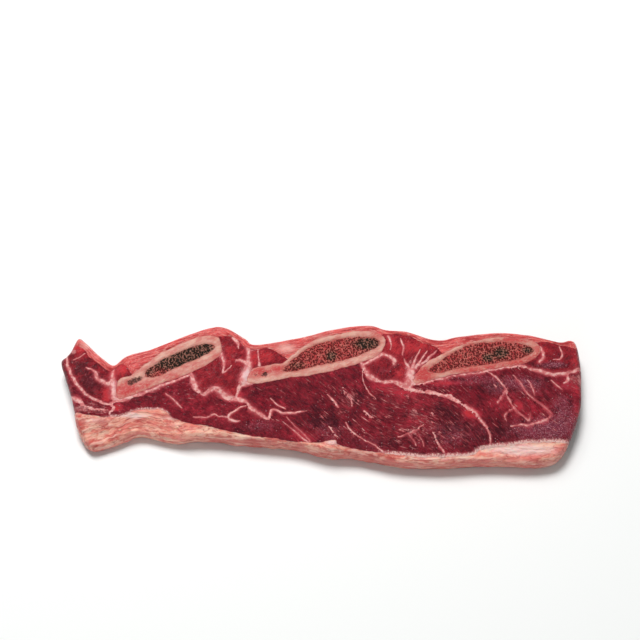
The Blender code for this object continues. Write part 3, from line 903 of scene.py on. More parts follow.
RIB_MUSCLE_PALE = {  # where fat is spread through the meat
    "left_end": [
        (-83.6, 0, 1.3, 6, 1.3), (-86.8, 2.4, 3, 1.4, 0.8), (-102.6, 9, 1.8, 7, 0.5),
        (-101.9, 17.4, 1.1, 1.1, 1.6),
    ],
    "left": [
        (-30.2, 6, 2.4, 5.6, 1.9), (-32.6, 0, 2, 2, 0.8), (-41.2, 19, 1.8, 4, 0.8),
        (-27, 18, 5, 1.4, 0.7),
    ],
    "right": [
        (36.8, 6.4, 2.4, 5, 1.15), (39.6, 12.5, 3.4, 4, 0.8), (28.6, 15, 3, 1.6, 0.8),
        (30.6, 24, 2.4, 2, 0.5), (44, 17, 4, 3, 0.6), (19, 9, 1.6, 3, 0.5),
    ],
    "right_end": [(104.8, 10, 2, 4, 0.8), (90.6, 12, 2, 4, 0.5)],
}
# Where a painted sheen lies on the meat, a dusky mauve with pale specks: place, reach and strength
RIB_MUSCLE_SHEEN = {
    "left_end": [(-93, 2, 6, 4, 0.35)],
    "left": [],
    "right": [(26, 8, 6, 3.5, 0.35)],
    "right_end": [(96, 11, 6, 1.6, 1)],
}

# Fibres of muscle, drawn along the grain: their shading, the bundles they lie in, fine fat between, and
# fine painted glints among the streaks of fat
fibres, given, out = new_group(
    "MeatFibres", {"Grain": None, "Fineness": 1.0, "Drawn out": 1.0, "Marbling": 0.5},
    ["Shade", "Bundle", "Streak", "Height"],
)
grain = node(fibres, "VectorMath", (given["Grain"], given["Fineness"]), operation="MULTIPLY")
drawn = node(fibres, "CombineXYZ", (given["Drawn out"], 1.0, 1.0))
drawn = node(fibres, "VectorMath", ((1.0, 1.0, 1.0), drawn), operation="DIVIDE")
grain = node(fibres, "VectorMath", (grain, drawn), operation="MULTIPLY")
threads = noise(stretched(grain, 1.0, 2.2, 0.8), 1.0, 4.0, 0.65)
waves = noise(stretched(grain, 0.5, 0.9, 0.4, 9.0), 1.0, 3.0, 0.6)
bent = noise(grain, 0.45, output="Color")
bent = node(fibres, "VectorMath", (bent, (1.6, 1.6, 1.6)), operation="MULTIPLY")
bent = node(fibres, "VectorMath", (bent, stretched(grain, 0.34, 0.66, 0.3)), operation="ADD")
bundles = node(fibres, "TexVoronoi", {"Vector": bent}, feature="DISTANCE_TO_EDGE")
each = node(fibres, "TexVoronoi", {"Vector": bent}, feature="F1", output="Color")
each = node(fibres, "SeparateColor", (each,)) - 0.5
torn = noise(stretched(grain, 0.5, 0.9, 0.5, 14.0), 1.0, 3.0, 0.6)
bundle_line = window(bundles, 0.13, 0.0) * window(torn, 0.46, 0.62)
marble = noise(stretched(grain, 0.42, 1.3, 0.4, 4.0), 1.0, 5.0, 0.62)
# The finer sparks along the grain are painted glints of wet light. They join the streaks of fat.
glint_sparks = noise(stretched(grain, 1.9, 2.6, 1.2, 21.0), 1.0, 3.0, 0.5)
marble_from = node(fibres, "MapRange", (given["Marbling"], 0.0, 2.0, 0.78, 0.28))
marbled = window(marble, marble_from, marble_from + 0.11)
glint_from = node(fibres, "MapRange", (given["Marbling"], 0.0, 2.0, 0.74, 0.46))
glints = window(glint_sparks, glint_from, glint_from + 0.07)
streak = maths("MAXIMUM", marbled, glints * 0.8)
put(threads * 0.44 + waves * 0.32 + each * 0.11, out["Shade"])
put(bundle_line, out["Bundle"])
put(streak, out["Streak"])
put(threads + streak * 0.35 - bundle_line * 0.25, out["Height"])

# Seams of fat: a ragged white line where the distance to the seam is under its half width
seam_fat, given, out = new_group(
    "SeamFat", {"Place": None, "Distance": 5.0, "Ragged": 0.5}, ["Line", "Halo", "Flush"]
)
ragged = noise(given["Place"], 0.9) - 0.5
swelling = noise(given["Place"], 0.36) - 0.5
parted = window(noise(given["Place"], 0.55), 0.5, 0.7, 0.0, 0.5)
reach = given["Distance"] + (ragged * 0.6 + swelling * 2.2) * given["Ragged"] + parted
put(window(reach, 2.25, 0.65), out["Line"])
put(window(reach, 4.4, 1.0), out["Halo"])
put(window(reach, 7.0, 1.2), out["Flush"])

# Flecks: tiny white grains of fat, strewn thinly, which also stand for painted glints of wet light
flecks_and_glints, given, out = new_group("WhiteFlecksAndGlints", {"Place": None, "Per mm": 0.8, "Share": 0.2}, ["Fleck"])
spots = node(flecks_and_glints, "TexVoronoi", {"Vector": given["Place"], "Scale": given["Per mm"]}, feature="F1")
each = Wire(spots.socket.node.outputs["Color"])
chosen = maths("LESS_THAN", node(flecks_and_glints, "SeparateColor", (each,)), given["Share"])
put(chosen * window(spots, 0.24, 0.1), out["Fleck"])


def meat_material(name, deep, red, bright, fineness, drawn_out, gloss_range, fleck_share):
    """Moist raw muscle: fibres, marbling, seams of fat, patches of tone that the mesh keeps, and painted
    glints and patches of painted sheen.
    """
    made, tree, shader = new_material(name, 0.4, 0.12, (1.4, 0.30, 0.20), 0.06)
    grain, place = read(tree, "grain", "Vector"), read(tree, "place", "Vector")
    values = ("tone", "mauve", "frill", "marbling", "seam")
    tone, mauve, frill, marbling, seam_far = [read(tree, name) for name in values]
    fibre = use_group(fibres, Grain=grain, Fineness=fineness, Drawn_out=drawn_out, Marbling=marbling)
    feather = stretched(grain, 0.45, 1.0, 0.8)
    seam = use_group(seam_fat, Place=feather, Distance=seam_far, Ragged=1.4)
    cloudy = noise(place, 0.3, 3.0, 0.6) - 0.5
    speck = noise(place, 2.3, 3.0, 0.65)
    pale_specks = node(tree, "MapRange", (speck, 0.0, 1.0, 0.06, 0.2))
    level = fibre["Shade"] + tone * 0.2 + cloudy * 0.5 + pale_specks
    flushed = tone + (fibre["Shade"] - 0.4) * 2.5
    # Painted sheen: in the mauve patches the meat turns dusky and takes pale pinkish specks, a reflection
    # of the bright room painted into its colour.
    dusky_sheen = mauve + cloudy * 1.2
    sheen_specks = window(speck, 0.53, 0.61) * window(dusky_sheen, 0.1, 1.0, 0.0, 0.95)
    netted = fibre["Bundle"] * window(marbling, -0.3, 0.7, 0.2, 0.75)
    fringe = noise(stretched(place, 1.8, 1.3, 1.0, 5.0), 1.0, 4.0, 0.7)
    fringe = window(fringe + frill * 0.32, 0.66, 0.8) * window(frill, 0.0, 0.45)
    # Pale flecks: grains of fat, and also painted glints of wet light. There are more of them in the
    # mauve patches and along the fat line.
    share = fleck_share + (mauve + frill) * 0.4
    grains_and_glints = use_group(flecks_and_glints, Place=place, Per_mm=1.15, Share=share)["Fleck"]
    pale = noise(place, 0.6, 3.0, 0.6)
    fat = tint(window(pale, 0.42, 0.6), (0.62, 0.18, 0.18), (0.82, 0.45, 0.42))
    fat = tint(window(marbling, 1.2, 2.1, 0.0, 0.9), fat, (0.84, 0.57, 0.57))
    colour = washed(
        tint(window(level, 0.36, 0.54), deep, red),
        (window(level, 0.52, 0.74), bright),
        (window(dusky_sheen, 0.15, 1.2, 0.0, 0.7), (0.175, 0.024, 0.05)),
        (sheen_specks, (0.5, 0.185, 0.225)),
        (window(flushed, 0.75, 1.8, 0.0, 0.85), (0.56, 0.03, 0.04)),
        (seam["Flush"] * 0.35, (0.4, 0.022, 0.036)),
        (netted, (0.46, 0.07, 0.09)),
        (window(marbling, 0.85, 1.6, 0.0, 0.66), (0.6, 0.15, 0.155)),
        (fibre["Streak"] * 0.65, (0.62, 0.18, 0.19)),
        (fibre["Streak"] * window(marbling, 0.5, 1.3) * 0.65, (0.7, 0.28, 0.28)),
        (seam["Halo"] * 0.45, (0.58, 0.12, 0.135)),
        (seam["Line"] * 0.9, fat),
        (window(frill, 0.15, 0.8, 0.0, 0.8), (0.58, 0.17, 0.18)),
        (fringe * 0.9, (0.86, 0.55, 0.5)),
        (grains_and_glints * 0.7, (0.8, 0.46, 0.48)),
    )
    coloured(shader, colour, place, *gloss_range)
    bare = window(seam["Halo"], 0.9, 0.1, 0.15, 1.0)
    bump(
        shader, (fibre["Height"] * bare, 0.5, 0.9), (seam["Line"], 0.2, 0.6),
        (speck * bare, 0.16, 0.8), (grains_and_glints, 0.12, 0.6),
    )
    return made


FAR_FROM_SEAMS = 12.0  # in half widths; seams no longer show from here on


def seam_values(plan, seams):
    """How far each place is from the nearest seam, counted in that seam's half width."""
    far, nearest = Nearest([natural_curve(seam, 0.3) for seam in seams], closed=False)(plan)
    return np.minimum(far / nearest[:, 2], FAR_FROM_SEAMS)


def seam_rise(x, y, seams):
    """Fat stands a little proud of the meat that dries beside it."""
    return 0.10 * smoothstep(1.6 - seam_values(np.column_stack([x, y]), seams) * 0.45)


seam_left = border_between(outline, [s[:2] for s in SEAMS["left"]], left_ring)
seam_mid_left = border_between(left_ring, [s[:2] for s in SEAMS["mid_left"]], middle_ring)
seam_mid_right = border_between(middle_ring, [s[:2] for s in SEAMS["mid_right"]], right_ring)
seam_right = border_between(right_ring, [s[:2] for s in SEAMS["right"]], outline)
rib_muscle_loops = {
    "left_end": joined(
        seam_left, stretch(left_ring, rim_left[-1], seam_left[-1])[::-1], rim_left[::-1],
        stretch(outline, rim_left[0], seam_left[0]),
    ),
    "left": joined(
        seam_mid_left, stretch(middle_ring, rim_mid_left[-1], seam_mid_left[-1])[::-1],
        rim_mid_left[::-1], stretch(left_ring, seam_mid_left[0], rim_mid_left[0])[::-1],
    ),
    "right": joined(
        seam_mid_right, stretch(right_ring, rim_mid_right[-1], seam_mid_right[-1])[::-1],
        rim_mid_right[::-1], stretch(middle_ring, seam_mid_right[0], rim_mid_right[0])[::-1],
    ),
    "right_end": joined(
        seam_right, stretch(outline, seam_right[-1], rim_right[-1]), rim_right[::-1],
        stretch(right_ring, seam_right[0], rim_right[0])[::-1],
    ),
}
rib_meat = meat_material(
    "rib_muscle", (0.085, 0.003, 0.0085), (0.26, 0.0085, 0.018), (0.5, 0.03, 0.04),
    fineness=1.1, drawn_out=1.3, gloss_range=(0.46, 0.26), fleck_share=0.05,
)
for side, loop in rib_muscle_loops.items():
    under = [SEAMS[key] for key in SEAMS if key.replace("mid_", "") == side.replace("_end", "")]
    seams = RIB_MUSCLE_SEAMS[side] + under
    lines = [natural_curve(seam, 0.36)[:, :2] for seam in RIB_MUSCLE_SEAMS[side]]

    def muscle_relief(x, y, rim):
        bundles = 0.13 * hills(x, y, 1.5, 41) + 0.07 * hills(x, y, 0.8, 42)
        return 0.25 * smoothstep(rim / 1.6) + (bundles + seam_rise(x, y, seams)) * smoothstep(rim / 0.6)

    def muscle_wall(x, y, z):
        return 0.22 * hills(x + y, z, 1.8, 43) + 0.10 * hills(x + y, z, 0.9, 44)

    muscle = Slab(
        side + "_rib_muscle", [loop], muscle_relief, RIB_MUSCLE_STEP, lines, muscle_wall, rib_meat
    )
    x, y = muscle.plan.T
    z = muscle.height
    warp = 2.2 * hills(x, y, 9.0, 45)
    muscle.write(
        grain=np.column_stack([x * 0.6 + y * 0.8 + warp, y * 0.6 - x * 0.8 + warp, z]),
        place=np.column_stack([x, y, z]),
        seam=seam_values(muscle.plan, seams),
        tone=patches(x, y, RIB_MUSCLE_TONE[side]),
        mauve=patches(x, y, RIB_MUSCLE_SHEEN[side]),
        marbling=0.30 + 0.25 * hills(x, y, 5.0, 46) + patches(x, y, RIB_MUSCLE_PALE[side]),
        frill=np.zeros(len(x)),
    )
    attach(muscle.piece, "root")
    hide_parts("rib_muscle_" + side)

# The lean muscle
# The large muscle under the ribs. Its fibres are cut at a slant and run down to the right, steeper
# towards the right end. Seams of fat part its heads, and marbling lies as short strokes in the grain.
FAT_LINE = [  # the border between the lean and the fat cap
    (-98.8, -10.5), (-85.3, -12.7), (-79, -11.4), (-72.5, -9.2), (-63.5, -9.4), (-57, -13.8),
    (-45, -16.2), (-27.2, -20.4), (-3, -23.6), (5.6, -22.8), (9, -25.4), (30.3, -28.9), (46, -30),
    (60, -29.1), (65, -26.4), (82, -24.2), (98.2, -23.8),
]
LEAN_SEAMS = [
    [
        (-83.4, -6.2, 0.8), (-80.4, -5.3, 0.75), (-76.2, -3.5, 0.65), (-72, -2.1, 0.5),
        (-64.5, 1.4, 0.35), (-53.4, 6.3, 0.28),
    ],
    [
        (-104.4, 2.6, 0.2), (-101.5, -3, 0.35), (-97.6, -5.6, 0.55), (-94, -8.4, 0.8), (-90.2, -9.4, 0.7),
        (-85.6, -9.6, 0.3),
    ],
    [(-84.1, -7, 0.5), (-82.9, -9, 0.4), (-84, -11, 0.3)],
    [
        (-34, -4.6, 0.6), (-30.2, -6, 0.42), (-27.6, -8.7, 0.5), (-24.2, -11.4, 0.45),
        (-21.3, -13.3, 0.35), (-19.9, -12.4, 0.3), (-19.8, -9.6, 0.25), (-18.1, -9.1, 0.25),
        (-15.3, -10.7, 0.26), (-9.9, -10.7, 0.24), (-5.4, -9.8, 0.12),
    ],
    [
        (-30.1, -7.7, 0.15), (-33.3, -9.6, 0.24), (-36.5, -12.4, 0.32), (-34.8, -14.4, 0.3),
        (-31.9, -14.6, 0.12),
    ],
    [
        (-36.5, -12.6, 0.25), (-40.6, -12.3, 0.15), (-42.3, -11.4, 0.2), (-45.9, -12.8, 0.22),
        (-50.8, -12.3, 0.12),
    ],
    [(-13.6, -12.8, 0.12), (-8.8, -17.8, 0.18), (-3.7, -23.2, 0.2)],
    [(-15.2, -14.6, 0.1), (-10, -19.1, 0.14), (-5, -23.3, 0.2)],
    [(-62.6, -2.2, 0.12), (-58.4, -6, 0.22), (-55.6, -8.8, 0.12)],
    [(-20, -4.2, 0.12), (-16.6, -7.2, 0.22), (-13.9, -8.8, 0.14)],
    [
        (34.2, 0.2, 0.95), (37.6, -0.8, 0.65), (40.5, -1, 0.55), (45.7, -1.8, 0.65), (51.2, -3.2, 0.8),
        (55, -5.4, 0.75), (58.4, -8, 0.65), (61.7, -11, 0.45), (64.2, -14.6, 0.3), (66.6, -18, 0.24),
        (67.4, -21.4, 0.22), (67.1, -25, 0.18),
    ],
    [
        (38.6, 1.8, 0.55), (44.8, 3.4, 0.36), (53.8, 5.8, 0.28), (67.3, 8, 0.26), (76.3, 9.9, 0.3),
        (81.6, 10.6, 0.4),
    ],
    [
        (68.8, 7.7, 0.12), (72.5, 4.7, 0.24), (75.4, 0, 0.3), (76, -3.4, 0.28), (78.4, -9.7, 0.32),
        (83, -14.2, 0.2),
    ],
    [(75.4, -1, 0.25), (73.6, -3.4, 0.4), (71.8, -6.2, 0.2)],
    [(77.8, -9.2, 0.2), (75.8, -10.6, 0.22), (74.2, -12.5, 0.2), (74.5, -14.7, 0.1)],
    [
        (78.7, 6.5, 0.12), (81.5, 3, 0.24), (83.6, -1.7, 0.22), (87.3, -5.7, 0.28), (91.4, -9.2, 0.42),
        (92.3, -12.6, 0.34), (87.3, -15.3, 0.34), (80.7, -16.5, 0.24), (76.3, -17, 0.12),
    ],
    [(84.3, -10.8, 0.12), (84, -13.4, 0.2), (83, -14.6, 0.15)],
    [(84.7, 4.1, 0.1), (86.4, 0.6, 0.18), (87.1, -2.8, 0.12)],
    [(94.3, 4.1, 0.15), (96.2, 1.8, 0.2), (98.5, 0.1, 0.12)],
    [(101.6, 6.4, 0.3), (101, 4, 0.35), (99.4, 2.6, 0.15)],
    [(17.4, 8.2, 0.1), (18, 2.8, 0.1), (20.3, -2.2, 0.16), (22.6, -4.8, 0.08)],
    [(9.1, -0.7, 0.15), (10.9, -2.7, 0.4), (12.4, -4.4, 0.3), (12.9, -8, 0.12)],
    [(3, -2.8, 0.12), (5.6, -5.7, 0.26), (7.5, -8.5, 0.18)],
    [(17.6, -10.2, 0.22), (20, -12.5, 0.3), (21.4, -13.2, 0.12)],
    [(30.8, -21.9, 0.1), (34.3, -20.5, 0.22), (38, -18.6, 0.26), (41.4, -16.6, 0.12)],
    [(35.4, -20.6, 0.2), (37.2, -22.8, 0.22), (38.1, -25.3, 0.1)],
    [(44.8, -19.8, 0.15), (46.5, -23.6, 0.26), (48.8, -28, 0.22)],
    [(39.3, -20.3, 0.15), (41, -25.3, 0.14)],
    [(10, -15.3, 0.12), (12.4, -19.2, 0.2), (16.4, -22, 0.14), (21.3, -24.7, 0.18), (24.6, -27.6, 0.22)],
    [(3.5, -17, 0.14), (5.4, -19.6, 0.16)],
]
GRAIN_SLOPE = [  # how steeply the fibres fall towards the right, by place in x
    (-110, -0.15), (-60, -0.2), (-35, -0.25), (-18, -0.6), (0, -0.95), (14, -0.9), (30, -0.42),
    (44, -0.6), (58, -1.1), (75, -1.15), (92, -0.85), (110, -0.6),
]
MARBLING = [
    (16, -7, 15, 8, 0.52), (38, -13, 14, 9, 0.52), (74, -3, 12, 8, 0.22), (5, -20, 9, 4, 0.35),
    (45, -24, 20, 4, 0.35), (88, -12, 12, 8, 0.1), (33, -3, 6, 2.5, 0.4), (60, -20, 9, 6, 0.2),
]
LEAN_PALE = [  # where fat is spread through the meat, and painted highlights on the rounded right edge at x 102 to 107
    (-95.5, -9, 7, 2.4, 1.4), (-86, -10.6, 4, 1.6, 1), (-103, 0, 2.4, 4, 0.6), (-80, -4.6, 4, 1.2, 0.9),
    (36.4, -0.4, 4, 1.4, 0.9), (46, 0.6, 9, 1.6, 0.5), (103, 5, 3, 3.4, 1), (55, -5, 4, 1.6, 0.6),
    (37.5, -19.5, 4, 2.4, 0.7), (12, -3.6, 2.4, 2.4, 0.5), (18.6, 9, 1.4, 3, 0.6), (83, 9, 5, 1.4, 0.6),
    (90.5, -8, 3, 3, 0.7), (79, -8, 6, 5, 0.3), (-34, -4, 4, 1.4, 0.5), (106.6, 4, 1.6, 5, 1.2),
    (105.6, -7, 1.2, 3, 0.9), (102, -17, 1.2, 5, 0.7), (-105.6, 8, 1.4, 6, 0.7),
]
# Lighter and darker patches of tone. The ones on the rounded right edge at x 100 to 105 are painted
# highlights.
LEAN_TONE = [
    (-50, -8, 30, 10, 0.25), (26, 1, 6, 1.8, 1.1), (33, -1.8, 5, 2.2, 1.1), (40, -5, 7, 3, 0.5),
    (60.4, -11.4, 3.4, 2.2, 2.6), (56, -7.4, 2.6, 1.4, 1), (-33.6, -3.4, 2, 2.2, 2),
    (-7, -20.4, 6, 2.4, 1.1), (40, -15, 7, 4, 0.5), (101, 3, 4, 4, 0.8), (73, -6, 6, 3.6, 0.6),
    (86, -10, 6, 3, 0.6), (80, -8, 2, 2, 1.1), (50, 2.8, 9, 1.2, 1.4), (-81.6, -8.6, 1.8, 1.6, 2.4),
    (-101, -3, 4, 6, 0.2), (0, -13, 11, 6, -0.6), (-22, -1, 13, 4, -0.2), (52, -16, 9, 6, -0.6),
    (50, -9, 6, 3, -0.5), (70, -0.5, 6, 3, -0.7), (84, 3, 8, 3.4, -0.3), (-68, -5, 10, 3, -0.2),
    (70, -20, 8, 5, -0.5), (104.4, -1, 2, 3, 1), (103.6, -10, 1.6, 3, 0.9), (100, -19, 1.4, 3, 0.8),
    (-36, -17, 9, 2.6, -0.3), (14, -5, 8, 4, -0.3), (30, -24, 6, 3, -0.4),
]
# Where a painted sheen lies on the meat, a dusky mauve with pale specks: place, reach and strength
LEAN_SHEEN = [
    (90, -18, 13, 5, 1.3), (98, -9, 5, 8, 0.8), (62, 4, 20, 3, 0.55), (-24, -16.5, 9, 3, 0.55),
    (3, -19, 10, 5, 0.5), (52, -21, 16, 6, 0.55), (84, 2, 8, 4, 0.8), (72, 0, 5, 3, 0.6),
    (20, -24, 9, 3, 0.5), (-96, -1, 6, 4, 0.4),
]
DIFFUSE = [  # where seams run out into the meat
    (84, -7, 16, 9, 1.6), (37, -20.5, 5, 4, 1.3), (11, -4.5, 4, 4.5, 0.9), (58, 5.5, 17, 3.4, 0.75),
    (-70, -1.4, 9, 3, 0.6), (-59, -5.5, 5, 4.6, 0.95), (-46, -12.3, 5, 2, 0.6), (-9, -18.5, 6, 6, 0.8),
]
STROKES = 400
STROKE_X, STROKE_Y = (-100.0, 104.0), (-30.0, 10.0)  # where they are sown
STROKE_LONG = (0.7, 4.2)
STROKE_HALF_WIDE = (0.06, 0.15)
STROKE_FAINT = (0.8, 1.9)  # how faint they are, in half widths of a seam
STROKE_CLEAR = {"border": 0.7, "seams": 0.5, "strokes": 0.42}  # how far they keep from these

fat_line = border_between(outline, FAT_LINE, outline)
lean_loop = joined(
    fat_line,
    stretch(outline, fat_line[-1], seam_right[-1]),
    seam_right[::-1],
    stretch(right_ring, seam_mid_right[-1], seam_right[0])[::-1],
    seam_mid_right[::-1],
    stretch(middle_ring, seam_mid_left[-1], seam_mid_right[0])[::-1],
    seam_mid_left[::-1],
    stretch(left_ring, seam_left[-1], seam_mid_left[0])[::-1],
    seam_left[::-1],
    stretch(outline, seam_left[0], fat_line[0]),
)
slopes = np.array(GRAIN_SLOPE)
slope_x = np.linspace(-112.0, 112.0, 449)
slope_here = np.interp(slope_x, *slopes.T)
fall = np.concatenate([[0.0], np.cumsum((slope_here[1:] + slope_here[:-1]) / 2 * np.diff(slope_x))])
tight = 1.0 + smoothstep((-12.0 - slope_x[:-1]) / 16.0)  # the left part is cut nearly across its fibres
length = np.concatenate([[0.0], np.cumsum(np.hypot(1.0, slope_here[:-1]) * tight * np.diff(slope_x))])


def marbling_at(x, y):
    marbled = (0.08 + patches(x, y, MARBLING)) * (1.0 + 0.8 * hills(x, y, 4.0, 51))
    return np.clip(marbled + patches(x, y, LEAN_PALE), 0.01, 2.0)


def marbling_strokes(loop):
    """Short strokes of fat that follow the grain, thicker sown where the meat is well marbled."""
    draw = np.random.default_rng(52)
    border = Nearest([loop])
    taken = Nearest([natural_curve(seam, 0.5) for seam in LEAN_SEAMS], closed=False)
    ends = np.roll(loop, -1, axis=0)
    rises = ends[:, 1] - loop[:, 1] + 1e-12
    strokes, heads = [], np.zeros((0, 2))
    while len(strokes) < STROKES:
        x, y = draw.uniform(*STROKE_X), draw.uniform(*STROKE_Y)
        size, half_wide = draw.uniform(*STROKE_LONG), draw.uniform(*STROKE_HALF_WIDE)
        marbled = marbling_at(np.array([x]), np.array([y]))[0]
        if draw.random() > marbled**1.3:
            continue
        steps = np.linspace(-0.5, 0.5, max(3, round(size / 0.45)) + 1) * size
        slope = np.interp(x, *slopes.T) + draw.normal(0.0, 0.10)
        bend = draw.normal(0.0, 0.03)
        way = np.array([1.0, slope]) / math.hypot(1.0, slope)
        side = np.array([-way[1], way[0]])
        stroke = np.array([x, y]) + steps[:, None] * way + (bend * steps**2)[:, None] * side
        crossed_at = (ends[:, 0] - loop[:, 0]) * (y - loop[:, 1]) / rises + loop[:, 0]
        crossings = (((loop[:, 1] > y) != (ends[:, 1] > y)) & (x < crossed_at)).sum()
        if crossings % 2 == 0 or border(stroke)[0].min() < STROKE_CLEAR["border"]:
            continue
        if taken(stroke)[0].min() < STROKE_CLEAR["seams"]:
            continue
        if len(heads) and np.abs(heads - stroke[:, None]).max(axis=2).min() < STROKE_CLEAR["strokes"]:
            continue
        heads = np.concatenate([heads, stroke])
        to_tip = (steps / size * 2) ** 2
        half_wide *= (0.8 + 0.5 * marbled) * (1.0 - 0.7 * to_tip)
        faint = draw.uniform(*STROKE_FAINT) + 0.3 * to_tip
        strokes.append(np.column_stack([stroke, half_wide, faint]))
    return strokes


lean_meat = meat_material(
    "lean_muscle", (0.055, 0.002, 0.008), (0.185, 0.006, 0.016), (0.44, 0.024, 0.044),
    fineness=1.0, drawn_out=1.9, gloss_range=(0.44, 0.24), fleck_share=0.08,
)
strokes = marbling_strokes(lean_loop)
from_fat_line = Nearest([fat_line], closed=False)
seam_curves = [natural_curve(seam, 0.3) for seam in LEAN_SEAMS + list(SEAMS.values())]
every_line = []
for curve in seam_curves:
    diffuse = np.minimum(patches(curve[:, 0], curve[:, 1], DIFFUSE), 1.0)
    every_line.append(np.column_stack([curve[:, :2], curve[:, 2] * (1.0 + diffuse), 1.45 * diffuse]))
every_line += strokes
from_fat = Nearest(every_line, closed=False)


def fat_distance(x, y):
    far, nearest = from_fat(np.column_stack([x, y]))
    return np.minimum(far / nearest[:, 2] + nearest[:, 3], FAR_FROM_SEAMS)


def lean_grain(x, y):
    """(along, across) the fibres, in mm."""
    warp = 1.1 * hills(x, y, 8.0, 53) + 0.4 * hills(x, y, 3.0, 54)
    return np.interp(x, slope_x, length) + y * 0.3, y - np.interp(x, slope_x, fall) + warp


def lean_relief(x, y, rim):
    along, across = lean_grain(x, y)
    bundles = 0.16 * hills(along * 0.35, across, 1.5, 55) + 0.09 * hills(along * 0.5, across, 0.8, 56)
    soft = 0.14 * hills(x, y, 5.0, 57)
    return (bundles + soft + seam_rise(x, y, LEAN_SEAMS)) * smoothstep(rim / 0.6)


def lean_wall(x, y, z):
    return 0.25 * hills(x + y, z, 1.8, 58) + 0.10 * hills(x + y, z, 0.8, 59)


lines = [natural_curve(seam, 0.36)[:, :2] for seam in LEAN_SEAMS] + [stroke[:, :2] for stroke in strokes]
lean = Slab("lean_under_ribs", [lean_loop], lean_relief, STEP, lines, lean_wall, lean_meat)
x, y = lean.plan.T
z = lean.height
along, across = lean_grain(x, y)
off_fat = from_fat_line(lean.plan)[0]
right_frill = smoothstep(1.0 - off_fat / 2.6) * smoothstep((x - 18.0) / 12.0)
left_frill = 0.8 * smoothstep(1.0 - off_fat / 1.5) * smoothstep((-56.0 - x) / 8.0)
left_frill *= smoothstep((x + 90.0) / 6.0)
lean.write(
    grain=np.column_stack([along, across, z]),
    place=np.column_stack([x, y, z]),
    seam=fat_distance(x, y),
    tone=patches(x, y, LEAN_TONE),
    mauve=np.clip(patches(x, y, LEAN_SHEEN), 0.0, 1.3),
    marbling=marbling_at(x, y),
    frill=right_frill + left_frill,
)
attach(lean.piece, "root")
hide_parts("lean_muscle")

# The fat cap
# Firm creamy fat along the whole front edge, a thick lobe at the left and a strip elsewhere. It is
# stained orange and red by the meat, and its outer wall is creased along its run.
FAT_RED = [
    (-97, -14.6, 2.2, 1.4, 1.8), (-95, -17.5, 1.6, 3, 0.8), (-90, -22.6, 5, 2.2, 1.1),
    (-86, -14.8, 6, 1.2, 0.7), (-73, -13, 4, 1.6, 0.8), (-64, -11.6, 6, 1.2, 0.6),
    (-78, -18.4, 5, 1.2, 0.5), (13, -27, 5, 1.4, 1), (22, -28.8, 5, 1, 1.2), (28, -30.4, 3, 0.8, 1.2),
    (-20, -22, 16, 1, 0.65), (-60, -12.4, 4, 1.2, 0.6), (-27, -22, 3, 1.2, 0.8), (-8, -24, 4, 0.8, 0.7),
    (60, -31, 12, 0.8, 0.5), (96, -27, 2, 3, 0.5), (-86, -13, 8, 0.8, 0.3),
]
FAT_WHITE = [
    (80, -27, 16, 2.6, 1), (5, -24, 3.4, 1.6, 0.9), (-90, -14.5, 8, 2, 0.5), (-76, -11.6, 8, 1.3, 1),
    (-60, -13, 6, 1, 0.6), (50, -30.8, 22, 1, 0.5), (-50, -17.5, 12, 1.2, 0.3),
]
GRAIN_BEFORE = [(-112, -32), (-93.5, -26)]  # the fat's grain runs on straight past both ends
GRAIN_AFTER = [(98, -31.7), (112, -31.7)]

fat_loop = joined(stretch(outline, fat_line[0], fat_line[-1]), fat_line[::-1])
from_front = Nearest([np.column_stack([front, run_along(front)])], closed=False)

fat_skin, tree, shader = new_material("fat_cap", 0.42, 0.35, (2.6, 1.0, 0.6), 0.12)
place = read(tree, "place", "Vector")
curds = noise(stretched(place, 0.13, 0.42, 0.4), 1.0, 4.0, 0.58)
threads = noise(stretched(place, 0.2, 1.5, 1.3, 5.0), 1.0, 5.0, 0.62)
fine = noise(place, 1.6, 4.0, 0.65)
cloudy = noise(stretched(place, 0.2, 0.4, 0.3, 11.0), 1.0, 3.0, 0.6)
blotch = noise(stretched(place, 0.35, 0.6, 0.5, 17.0), 1.0, 4.0, 0.65)
white_here = read(tree, "white")
calm = window(white_here, 0.2, 0.9, 1.0, 0.3)  # the white fat is smoother
red = read(tree, "red") + (blotch - 0.5) * 1.5
bend = (noise(stretched(place, 0.25, 0.5, 0.5, 23.0)) - 0.5) * 2.4
bend = node(tree, "CombineXYZ", (0.0, bend, 0.0))
folded = node(tree, "VectorMath", (stretched(place, 0.07, 0.55, 0.55, 29.0), bend), operation="ADD")
folds = noise(folded)
crease = node(tree, "MapRange", (maths("ABSOLUTE", folds - 0.5), 0.0, 0.045, 1.0, 0.0)) * calm
meat_side = read(tree, "meat") + (fine - 0.5) * 1.6
# Pale flecks on the white fat: grains of fat, and also painted glints of wet light.
grains_and_glints = use_group(flecks_and_glints, Place=place, Per_mm=1.2, Share=white_here * 0.5)["Fleck"]
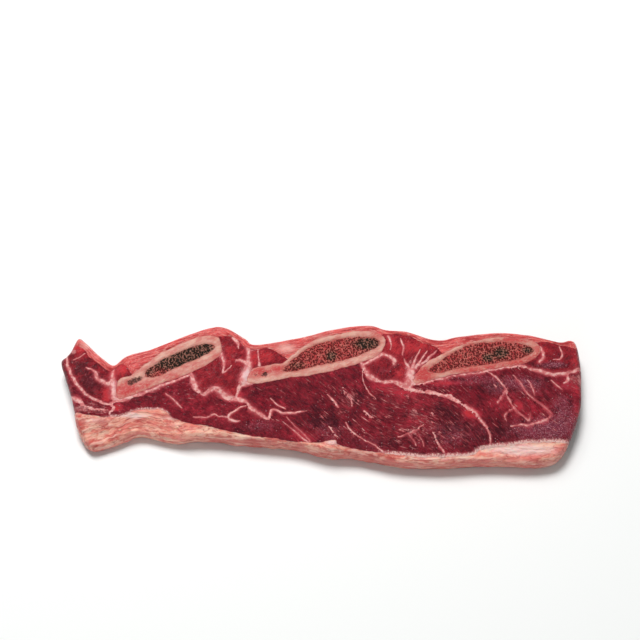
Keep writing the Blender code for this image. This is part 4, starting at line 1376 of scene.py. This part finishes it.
colour = washed(
    tint(window(curds, 0.4, 0.6), (0.74, 0.18, 0.145), (0.92, 0.44, 0.335)),
    (window(threads, 0.53, 0.68, 0.0, 0.5) * calm, (0.84, 0.54, 0.45)),
    (window(threads, 0.46, 0.34, 0.0, 0.45) * calm, (0.64, 0.11, 0.09)),
    (window(cloudy, 0.5, 0.62, 0.0, 0.75), (0.92, 0.55, 0.425)),
    (window(cloudy, 0.48, 0.36, 0.0, 0.7), (0.78, 0.215, 0.195)),
    (window(red, 0.15, 1.0, 0.0, 0.85), (0.56, 0.09, 0.075)),
    (window(white_here, 0.15, 0.9, 0.0, 0.8), (0.9, 0.635, 0.605)),
    (read(tree, "wall") * 0.55, (0.64, 0.175, 0.155)),
    (crease * window(blotch, 0.36, 0.58, 0.2, 0.85), (0.54, 0.095, 0.085)),
    (window(folds, 0.56, 0.68, 0.0, 0.5) * calm, (0.92, 0.62, 0.52)),
    (window(meat_side, 0.5, 0.0, 0.0, 0.4), (0.56, 0.1, 0.1)),
    (grains_and_glints * 0.6, (0.88, 0.68, 0.64)),
)
coloured(shader, colour, place, 0.52, 0.3)
bump(
    shader, (folds, 1.8, 0.7), (curds, 0.8, 0.5), (threads, 0.3, 0.7), (fine, 0.12, 0.7),
    (1.0 - crease, 0.25, 0.7),
)


def along_front(x, y):
    """How far each place lies along the front edge."""
    return from_front(np.column_stack([x, y]))[1][:, 2]


def fat_relief(x, y, rim):
    run = along_front(x, y)
    folds = 0.42 * hills(run * 0.30, rim, 1.7, 61) + 0.16 * hills(run * 0.5, rim, 0.8, 62)
    lumps = 0.40 * hills(x, y, 4.5, 63)
    return 0.25 * smoothstep(rim / 1.4) + (folds + lumps) * smoothstep(rim / 1.0)


def fat_wall(x, y, z):
    run = along_front(x, y)
    creases = 0.55 * hills(run * 0.16, z, 1.9, 64) + 0.18 * hills(run * 0.35, z, 0.8, 65)
    return creases + 0.40 * hills(run, z * 0.5, 4.0, 66)


fat = Slab("fat_cap_strip", [fat_loop], fat_relief, FAT_STEP, wall=fat_wall, material=fat_skin)
x, y = fat.plan.T
grain_line = smooth_curve(GRAIN_BEFORE + FRONT_EDGE + GRAIN_AFTER)
grain_run = run_along(grain_line)
grain_run -= grain_run[nearest_number(grain_line, front[0])]
inward_here, on_line = Nearest([np.column_stack([grain_line, grain_run])], closed=False)(fat.plan)
fat.write(
    place=np.column_stack([on_line[:, 2], inward_here, fat.height]),
    red=patches(x, y, FAT_RED),
    white=patches(x, y, FAT_WHITE),
    meat=from_fat_line(fat.plan)[0] + 2.0 * smoothstep((x - 18.0) / 12.0),
    wall=smoothstep((7.6 - fat.height) / 1.4) * smoothstep((x + 58.0) / 14.0),
)
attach(fat.piece, "root")
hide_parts("fat_cap")
